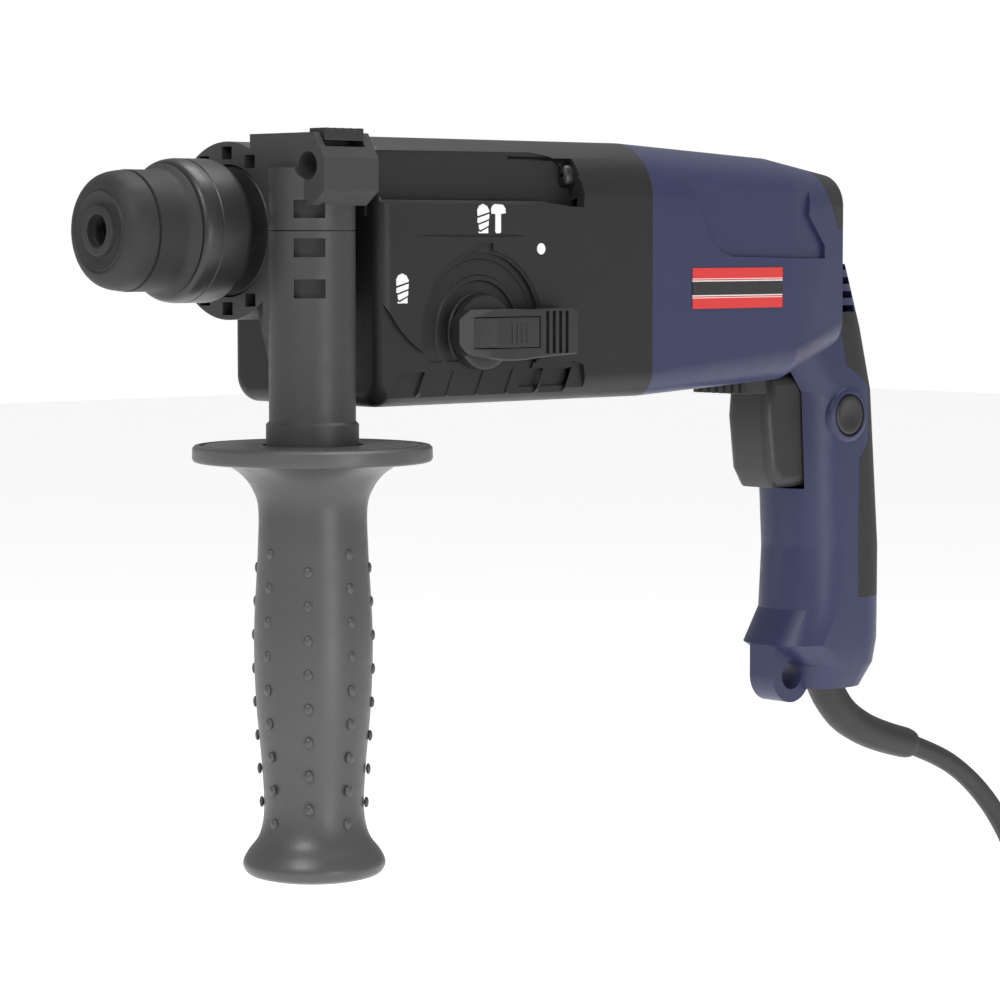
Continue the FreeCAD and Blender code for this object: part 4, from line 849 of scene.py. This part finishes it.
# ---------------------------------------------------------------- motor shell, handle
@dataclass
class RearShells:
    """The blue motor shell with the pistol grip, its rear cover and the rubber pads."""

    finisher: Finisher
    button: Place = (336.7, -18.4, -69.0)
    sink: float = 1.5

    @staticmethod
    def half_width(x: float) -> float:
        """Half the barrel's width at a station."""
        return 38.8 - (x - 210.3) * 1.8 / 76.7 if x < 287 else 37 - (x - 287) * 16 / 65

    def panel(self, side: int) -> list[bpy.types.Object]:
        """The shallow panel sunk into the upper rear of the shell's side."""
        front = [(223.4, 34), (224.2, 26), (229, 17), (235.6, 6), (240.5, -2.6), (245.9, -7.2), (252, -8.8),
                 (287, -9.6), (287, 34)]
        rear = [(286.9, 34), (286.9, -9.6), (316, -9.8), (316, 34)]
        tools = []
        for shape in (front, rear):
            tool = Bench.slab("panel", shape, Way.ACROSS, 30 * side, 60 * side)
            inner_face = [vertex for vertex in tool.data.vertices if abs(vertex.co.y) < 45 * MM]
            for vertex in inner_face:
                depth = self.half_width(vertex.co.x / MM - NOSE_X) - self.sink
                vertex.co.y = side * depth * MM
            tools.append(tool)
        return tools

    def button_ring(self) -> bpy.types.Object:
        """The raised ring that guards the lock button."""
        x, y, z = self.button
        return Bench.turned("button_guard", [
            (y + 3, 8.1), (y - 1.3, 8.1), (y - 1.7, 8.5), (y - 1.5, 9.6), (y - 0.6, 10.6), (y + 1.2, 11.2),
            (y + 3, 11.2)], Way.ACROSS, (x, 0, z), 64, hollow=True)

    def build(self) -> None:
        """Makes the shells, pads and trim."""
        shell = Bench.packed_copy("motor_housing", "motor_shell")
        Bench.carve(shell, *self.panel(-1), *self.panel(1))
        Bench.soften(shell, 0.6, 2, 24)
        Bench.smooth(shell)
        self.finisher.mount(shell, BLUE_SHELL, "root", "motor_housing")
        cover = Bench.packed_copy("handle_cover", "rear_cover")
        Bench.soften(cover, 0.6, 2, 24)
        Bench.smooth(cover)
        self.finisher.mount(cover, BLUE_SHELL, "root", "handle_cover")
        for node, name in (("web_pad", "web_rubber"), ("rear_grip_pad", "grip_rubber")):
            pad = Bench.packed_copy(node, name)
            Bench.soften(pad, 0.8, 3, 30)
            Bench.smooth(pad, 40)
            self.finisher.mount(pad, RUBBER, "root", node)
        guard = self.button_ring()
        Bench.smooth(guard, 40)
        self.finisher.mount(guard, BLUE_SHELL, "root")


# ------------------------------------------------------------------------- controls
@dataclass
class Controls:
    """Mode knob, release button, trigger, direction lever and lock button."""

    finisher: Finisher
    knob_x: float = 130.0
    knob_z: float = -33.6
    knob_radius: float = 12.5
    top: float = -46.8
    face: float = -40.3

    def make_knob(self) -> bpy.types.Object:
        """The small disc, the crank behind it, and the lever bar with its ridges."""
        x, z, face = self.knob_x, self.knob_z, self.face
        disc = Bench.turned("mode_dial", [
            (-32, 0), (-32, 9), (-37.1, 9), (-37.1, self.knob_radius), (face + 1.0, self.knob_radius),
            (face + 0.3, self.knob_radius - 0.3), (face, self.knob_radius - 1.0), (face, 0)],
            Way.ACROSS, (x, 0, z), 96)
        lower = flowing([(-15, -3.5), (-12, -6.8), (-7, -8.0), (2, -9.2), (11, -9.3), (21, -8.5),
                         (35.6, -7.8)], 4)
        upper = [(36.5, -6.9), (36.5, 6.4), (35.6, 7.8), (25, 7.8), (19, 7.4), (8, 7.8), (-11, 7.8),
                 (-15, 4.6)]
        bar = Bench.slab("mode_bar", [(x + a, z + b) for a, b in (*lower, *upper)],
                         Way.ACROSS, self.top, -39.0)
        Bench.soften(bar, 1.2, 3, 40)
        slope = Bench.slab("bar_slope", [
            (x - 18, -50), (x - 18, -42.6), (x - 3.5, self.top - 0.05), (x - 3.5, -50)],
            Way.UP, z - 20, z + 20)
        pocket = Bench.block("bar_pocket", (x - 9.8, -52, z - 5.3), (x + 18.8, self.top + 5, z + 5.3))
        grooves = [Bench.block("bar_groove", (x + a, -52, z - 7.3), (x + a + 1.5, self.top + 1.2, z + 6.9))
                   for a in (21.3, 24.3, 27.3, 30.3)]
        crank = Bench.drum("mode_crank", (x - 5, -36, z), (x - 5, -28.2, z), 2.2, sides=24)
        knob = Bench.carve(disc, bar, crank, joined=True)
        Bench.carve(knob, slope, pocket, *grooves)
        Bench.soften(knob, 0.28, 2, 35)
        Bench.smooth(knob)
        return self.finisher.mount(knob, CONTROL, "mode_knob", "mode_knob")

    def make_release(self) -> bpy.types.Object:
        """The inlaid release button with its stepped thumb pad."""
        x, z = self.knob_x, self.knob_z
        button = Bench.slab("release_pad", [
            (x - 9.5, self.top + 3.0), (x - 9.5, self.top + 1.9), (x - 1.6, self.top + 0.7),
            (x + 0.4, self.top - 0.45), (x + 17.6, self.top - 0.35), (x + 18.5, self.top + 0.2),
            (x + 18.5, self.top + 3.0)],
            Way.UP, z - 5, z + 5)
        grooves = [Bench.block("pad_groove", (x + a, -52, z - 3.4), (x + a + 0.7, self.top, z + 3.4))
                   for a in (5.0, 7.2, 9.4, 11.6)]
        Bench.carve(button, *grooves)
        Bench.soften(button, 0.3, 2, 40)
        Bench.smooth(button)
        return self.finisher.mount(button, CONTROL, "release_button", "release_button")

    def build(self) -> None:
        """Makes every control."""
        self.make_knob()
        self.make_release()
        trigger = Bench.packed_copy("trigger", "trigger_blade")
        Bench.smooth(trigger, 50)
        self.finisher.mount(trigger, CONTROL, "trigger", "trigger")
        lever = Bench.packed_copy("direction_lever", "reversing_lever")
        Bench.soften(lever, 0.4, 2, 40)
        Bench.smooth(lever)
        self.finisher.mount(lever, CONTROL, "direction_lever", "direction_lever")
        button = Bench.turned("lock_pin", [
            (-14.1, 0), (-14.1, 7.75), (-19.0, 7.75), (-19.7, 7.4), (-20.1, 6.7), (-19.9, 5.2),
            (-19.5, 2.6), (-19.4, 0)],
            Way.ACROSS, (336.7, 0, -69), 64)
        Bench.smooth(button, 40)
        self.finisher.mount(button, CONTROL, "lock_button", "lock_button")


# ---------------------------------------------------------------------- side handle
@dataclass
class SideHandle:
    """The clamp ring with its post, and the turning grip with its guard disc."""

    finisher: Finisher
    post_x: float = 63.3
    post_y: float = -30.0
    disc_top: float = -68.6
    disc_radius: float = 38.75
    bottom: float = -208.7
    dot_rows: int = 8
    dots_in_row: int = 9
    dot_pitch: float = 10.9
    first_dot_z: float = -103.0
    dot_radius: float = 1.45

    def make_jaws(self) -> None:
        """Refines the two clamp jaws and the depth stop's button."""
        for node, name in (("clamp_upper_jaw", "upper_clamp"), ("clamp_lower_jaw", "lower_clamp")):
            jaw = Bench.packed_copy(node, name)
            Bench.soften(jaw, 0.5, 2, 30)
            Bench.smooth(jaw)
            self.finisher.mount(jaw, CLAMP_NYLON, "side_handle", node)
        button = Bench.packed_copy("depth_stop_button", "stop_release")
        grooves = [Bench.block("stop_groove", (x, -50, 31.7), (x + 1.2, -36, 34))
                   for x in (57.5, 60.7, 63.9, 67.1)]
        Bench.carve(button, *grooves)
        Bench.soften(button, 0.5, 2, 40)
        Bench.smooth(button)
        self.finisher.mount(button, CONTROL, "depth_stop_button", "depth_stop_button")

    def make_grip(self) -> bpy.types.Object:
        """Spins the grip and sets its eight rows of raised dots."""
        low, end = self.disc_top - 5.5, self.bottom
        flare = flowing([(low - 0.2, 29.5), (low - 1.6, 26.4), (low - 4.2, 22.8), (low - 8.5, 19.6),
                         (low - 15, 17.6), (low - 30, 17.9), (low - 56, 19.2), (low - 78, 18.6),
                         (end + 37, 16.9), (end + 22, 16.2), (end + 13.5, 17.8), (end + 8.5, 21.3),
                         (end + 5.6, 22.9), (end + 3.4, 23.0), (end + 1.2, 21.4), (end + 0.1, 18.0)], 5)
        profile = [
            (self.disc_top, 16.3), (self.disc_top, 34.6), (self.disc_top - 0.6, 35.0),
            (self.disc_top - 0.6, 36.0), (self.disc_top, 36.5),
            (self.disc_top - 0.1, self.disc_radius - 0.9), (self.disc_top - 0.9, self.disc_radius - 0.1),
            (low + 1.2, self.disc_radius), (low + 0.3, self.disc_radius - 0.5),
            (low, self.disc_radius - 1.4), (low, 31.0), *flare,
            (end, 14.5), (end + 0.7, 13.9), (end + 0.7, 0.0)]
        core = [(-94.9, 0.0), (-94.9, 5.1), (-69.4, 5.1), (-69.4, 16.3)]
        grip = Bench.turned("guard_grip", [*reversed(profile), *reversed(core)], Way.UP,
                            (self.post_x, self.post_y, 0), 128)
        Bench.smooth(grip, 40)
        dots = []
        for row in range(self.dot_rows):
            offset = 5.4 if row % 2 else 0.0
            for number in range(self.dots_in_row):
                z = self.first_dot_z - self.dot_pitch * number - offset
                dots.append(self.dot(360.0 * row / self.dot_rows, z))
        grip = Bench.gather("guard_grip", [grip, *dots])
        return self.finisher.mount(grip, GRIP_NYLON, "side_grip", "side_grip")

    def dot(self, angle: float, z: float) -> bpy.types.Object:
        """One raised dot on the grip's skin."""
        turn = math.radians(angle)
        share = (z + 104.1) / -26.0 if z > -130 else 1.0 + (z + 130.1) / -22.0
        radius = 17.9 + 1.3 * min(share, 1.0) if z > -152 else 18.9 - (-152 - z) * 0.058
        place = at(self.post_x + radius * math.cos(turn), self.post_y + radius * math.sin(turn), z)
        Bench.pick()
        bpy.ops.mesh.primitive_uv_sphere_add(
            segments=16, ring_count=8, radius=self.dot_radius * MM, location=place)
        bpy.context.object.scale = (0.55, 1.0, 1.25)
        bpy.context.object.rotation_euler = (0, 0, turn)
        piece = Bench.settled("dot")
        bpy.ops.object.shade_smooth()
        return piece

    def build(self) -> None:
        """Makes the whole side handle."""
        self.make_jaws()
        self.make_grip()


# ------------------------------------------------------------------------ fasteners
@dataclass
class Fasteners:
    """The four housing screws with domed cross heads."""

    finisher: Finisher
    rows: tuple[float, float] = (19.0, -49.5)
    offset: float = 31.0

    def build(self) -> None:
        """Makes one screw and repeats it."""
        first = Bench.turned("housing_screw", [
            (222, 0), (222, 1.6), (220.6, 2.2), (176, 2.2), (176, 4.2), (173.6, 4.2), (172.7, 3.8),
            (172.1, 2.8), (171.9, 1.2),
            (171.9, 0)], Way.BACK, (0, -self.offset, self.rows[0]), 48)
        y, z = -self.offset, self.rows[0]
        slots = [Bench.block("slot_a", (168, y - 0.55, z - 2.4), (173.6, y + 0.55, z + 2.4)),
                 Bench.block("slot_b", (168, y - 2.4, z - 0.55), (173.6, y + 2.4, z + 0.55))]
        Bench.carve(first, *slots)
        Bench.soften(first, 0.12, 1, 40)
        Bench.smooth(first)
        drop = self.rows[1] - self.rows[0]
        across = 2 * self.offset
        others = [Bench.repeat(first, shift) for shift in ((0, across, 0), (0, 0, drop), (0, across, drop))]
        screws = Bench.gather("housing_screws", [first, *others])
        self.finisher.mount(screws, BLACK_STEEL, "root", "body_screws")


# ------------------------------------------------------------------------ mains lead
@dataclass
class MainsLead:
    """The hanging lead: strain relief, one long spline with its tied coil, and the plug."""

    finisher: Finisher
    radius: float = 4.0
    length: float = 1.885
    coil_centre: Place = (478.7, 0.0, -384.0)
    exit: Place = (396.0, 0.0, -202.7)

    def drop_points(self) -> list[Place]:
        """The route from the sleeve down to the coil."""
        return [
            (396.0, 0, -202.7), (414.0, 0, -208.9), (430.6, 0, -218.1), (445.3, 0, -230.1),
            (457.8, 0, -244.4), (467.6, 0, -260.7), (474.4, 0, -278.4), (478.0, 0, -297.1),
            (478.7, 0, -311.0), (476.2, 0, -324.5), (468.9, 0, -336.0), (455.0, 0, -342.0)]

    def coil_points(self) -> list[Place]:
        """Six turns in two layers, each shifting to its next seat in the same short stretch."""
        seats = [(0, 48.6), (-8.2, 48.6), (-8.2, 40.4), (0, 40.4), (8.2, 40.4), (8.2, 48.6), (16.4, 49.6)]
        bulge = {1: (-3.2, 0.0), 4: (3.2, 0.0)}
        per_turn, first, last, moving = 16, 0.06, 5.92, (0.78, 0.93)
        count = int((last - first) * per_turn)
        points = []
        for index in range(count + 1):
            t = first + (last - first) * index / count
            turn = int(t)
            share = min(1.0, max(0.0, (t - turn - moving[0]) / (moving[1] - moving[0])))
            (y0, r0), (y1, r1) = seats[turn], seats[min(turn + 1, 6)]
            swell = math.sin(math.pi * share) * bulge.get(turn, (0.0, 0.0))[0]
            y, r = y0 + (y1 - y0) * share + swell, r0 + (r1 - r0) * share
            angle = math.radians(119.2 + 360.0 * t)
            points.append((self.coil_centre[0] + r * math.cos(angle), y,
                           self.coil_centre[2] + r * math.sin(angle)))
        return points

    def tail_points(self) -> list[Place]:
        """The short end from the coil down to the plug."""
        return [(461.5, 19.5, -339.6), (450.0, 23.0, -346.0), (441.5, 27.5, -356.5), (438.0, 30.4, -369.0),
                (437.3, 31.5, -382.0)]

    def spline(self, name: str, points: Sequence[Place], radius: float,
               swell: Sequence[float] | None = None) -> bpy.types.Object:
        """A round rubber line along a NURBS spline.

        Args:
            name: the piece's name.
            points: its control points.
            radius: its radius.
            swell: a radius factor for each point.

        Returns:
            The curve object.
        """
        data = bpy.data.curves.new(name, "CURVE")
        data.dimensions = "3D"
        data.bevel_depth = radius * MM
        data.bevel_resolution = 5
        data.resolution_u = 5
        data.use_fill_caps = True
        line = data.splines.new("NURBS")
        line.points.add(len(points) - 1)
        for index, place in enumerate(points):
            line.points[index].co = (*at(*place), 1.0)
            line.points[index].radius = swell[index] if swell else 1.0
        line.order_u = 3
        line.use_endpoint_u = True
        piece = bpy.data.objects.new(name, data)
        bpy.context.scene.collection.objects.link(piece)
        return piece

    def make_relief(self) -> bpy.types.Object:
        """The bent rubber sleeve with its collar and rolled end."""
        points = [(341.4, 0, -166.6), (345.0, 0, -174.0), (349.4, 0, -180.6), (356.0, 0, -187.3),
                  (363.8, 0, -191.9), (372.5, 0, -195.8), (383.0, 0, -199.2), (390.0, 0, -201.1),
                  (394.2, 0, -202.2), (396.0, 0, -202.7)]
        swell = [6.9, 6.9, 6.8, 6.7, 6.55, 6.4, 6.25, 6.15, 6.1, 5.6]
        sleeve = self.spline("bend_relief", points, 1.0, swell)
        sleeve.data.bevel_resolution = 9
        Bench.pick(sleeve)
        bpy.ops.object.convert(target="MESH")
        sleeve = Bench.settled("bend_relief")
        bpy.ops.object.shade_smooth()
        root = Bench.turned("relief_root", [
            (-171.4, 0), (-171.4, 9.2), (-170.9, 9.7), (-168.7, 9.7), (-168.2, 9.2), (-168.2, 0)],
            Way.UP, (341.4, 0, 0), 48)
        Bench.smooth(root, 40)
        nub = Bench.block("relief_nub", (345.4, -1.2, -186.2), (348.6, 1.2, -183.6))
        Bench.soften(nub, 0.6, 3, 40)
        sleeve = Bench.gather("bend_relief", [sleeve, root, nub])
        return self.finisher.mount(sleeve, LEAD_SHEATH, "root", "strain_relief")

    def make_plug(self) -> bpy.types.Object:
        """The two-pin plug: a ribbed neck, a waisted grip and a flat face."""
        x, y, z = 437.3, 31.5, -382.0
        neck = [(0.0, 4.3), (-0.4, 5.2), (-2.6, 5.5), (-3.0, 4.9), (-3.8, 4.9), (-4.2, 5.9),
                (-6.4, 6.2), (-6.8, 5.5), (-7.6, 5.5), (-8.0, 6.7), (-10.4, 7.0), (-10.8, 6.3),
                (-11.6, 6.3), (-12.0, 7.3)]
        body = flowing([(-14.0, 7.9), (-18.0, 10.4), (-22.0, 14.6), (-26.0, 17.2), (-30.0, 17.6),
                        (-34.0, 17.0), (-37.6, 17.4)], 4)
        profile = [(0.0, 0.0), *neck, *body, (-38.2, 18.0), (-39.4, 18.0), (-40.0, 17.4), (-40.0, 0.0)]
        plug = Bench.turned("plug_mould", [(z + a, r) for a, r in profile], Way.UP, (x, y, 0), 72)
        flats = [Bench.slab("plug_flat", [
            (x + side * 16.4, z - 21), (x + side * 24, z - 17), (x + side * 24, z - 37),
            (x + side * 16.4, z - 36)], Way.ACROSS, y - 20, y + 20)
                 for side in (-1, 1)]
        Bench.carve(plug, *flats)
        Bench.soften(plug, 0.4, 2, 40)
        Bench.smooth(plug)
        return self.finisher.mount(plug, PLUG_MOULD, "root", "plug_body")

    def make_tie(self) -> bpy.types.Object:
        """The rubber band that holds the turns together."""
        tie = Bench.packed_copy("cord_tie", "coil_tie")
        Bench.soften(tie, 0.6, 3, 40)
        Bench.smooth(tie, 45)
        return self.finisher.mount(tie, RUBBER, "root", "cord_tie")

    def build(self) -> None:
        self.make_relief()
        route = self.drop_points() + self.coil_points() + self.tail_points()
        lead = self.spline("mains_lead", route, self.radius)
        self.finisher.mount(lead, LEAD_SHEATH, "root", "mains_cord", "cord_coil")
        plug = self.make_plug()
        tie = self.make_tie()
        at(*self.exit)


# ---------------------------------------------------------------------------- studio
@dataclass
class Studio:
    """Pale floor, soft lamps and the camera."""

    floor_z: float = -0.4
    lens: float = 122.4
    fill: float = 0.4

    def make_floor(self) -> None:
        """A wide pale floor."""
        Bench.pick()
        bpy.ops.mesh.primitive_plane_add(size=16, location=(0, 0, self.floor_z))
        floor = bpy.context.object
        floor.name = "floor"
        paint = Paint("floor_paint")
        soft = paint.noise(300.0, 2.0)
        paint.dress(Base_Color=paint.blend(soft, (0.93, 0.93, 0.93), (0.96, 0.96, 0.96)),
                    Roughness=soft * 0.1 + 0.8,
                    Emission_Color=(1.0, 1.0, 1.0), Emission_Strength=0.55)
        floor.data.materials.append(paint.material)

    def make_lamp(self, name: str, place: Place, target: Place, size: float, power: float) -> None:
        """One square soft lamp aimed at a place."""
        lamp = bpy.data.lights.new(name, "AREA")
        lamp.size = size
        lamp.energy = power
        item = bpy.data.objects.new(name, lamp)
        item.location = place
        item.rotation_euler = (Vector(target) - Vector(place)).to_track_quat("-Z", "Y").to_euler()
        bpy.context.scene.collection.objects.link(item)

    def make_camera(self) -> None:
        """The camera, ahead of the nose on the knob's side."""
        data = bpy.data.cameras.new("camera")
        data.lens = self.lens
        data.sensor_width = 36
        data.clip_end = 50
        camera = bpy.data.objects.new("camera", data)
        camera.location = (-0.9796, -0.8704, 0.112)
        camera.rotation_euler = (math.radians(90 - 4.37), 0, math.radians(-43))
        bpy.context.scene.collection.objects.link(camera)
        bpy.context.scene.camera = camera

    def build(self) -> None:
        """Sets up the whole studio."""
        self.make_floor()
        world = bpy.data.worlds.new("studio")
        world.use_nodes = True
        sky = world.node_tree.nodes["Background"]
        sky.inputs["Color"].default_value = (1, 1, 1, 1)
        sight = world.node_tree.nodes.new("ShaderNodeLightPath").outputs["Is Camera Ray"]
        level = world.node_tree.nodes.new("ShaderNodeMath")
        level.operation = "MULTIPLY_ADD"
        level.inputs[1].default_value = 1.0 - self.fill
        level.inputs[2].default_value = self.fill
        world.node_tree.links.new(sight, level.inputs[0])
        world.node_tree.links.new(level.outputs[0], sky.inputs["Strength"])
        bpy.context.scene.world = world
        bpy.context.scene.view_settings.view_transform = "Standard"
        self.make_lamp("key", (-1.7, -0.7, 1.5), (-0.1, 0, 0.0), 0.9, 26)
        self.make_lamp("top", (0.3, 0.1, 1.9), (-0.05, 0, 0.1), 1.2, 26)
        self.make_lamp("low", (-0.4, -1.9, -0.1), (-0.1, 0, -0.1), 0.7, 7)
        self.make_camera()


def finish_packed_nodes(finisher: Finisher) -> None:
    """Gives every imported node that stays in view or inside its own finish."""
    for node, finish in PACKED_FINISHES.items():
        finisher.coat(frame["nodes"][node], finish)
        log.info("%s keeps its packed shape", node)


def main() -> None:
    """Builds every sub-assembly."""
    logging.basicConfig(level=logging.INFO, format="%(message)s")
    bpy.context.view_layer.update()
    finisher = Finisher()
    Studio().build()
    MainsLead(finisher).build()
    Chuck(finisher).build()
    GearHousing(finisher).build()
    RearShells(finisher).build()
    Controls(finisher).build()
    SideHandle(finisher).build()
    Fasteners(finisher).build()
    finish_packed_nodes(finisher)


if __name__ == "__main__":
    main()
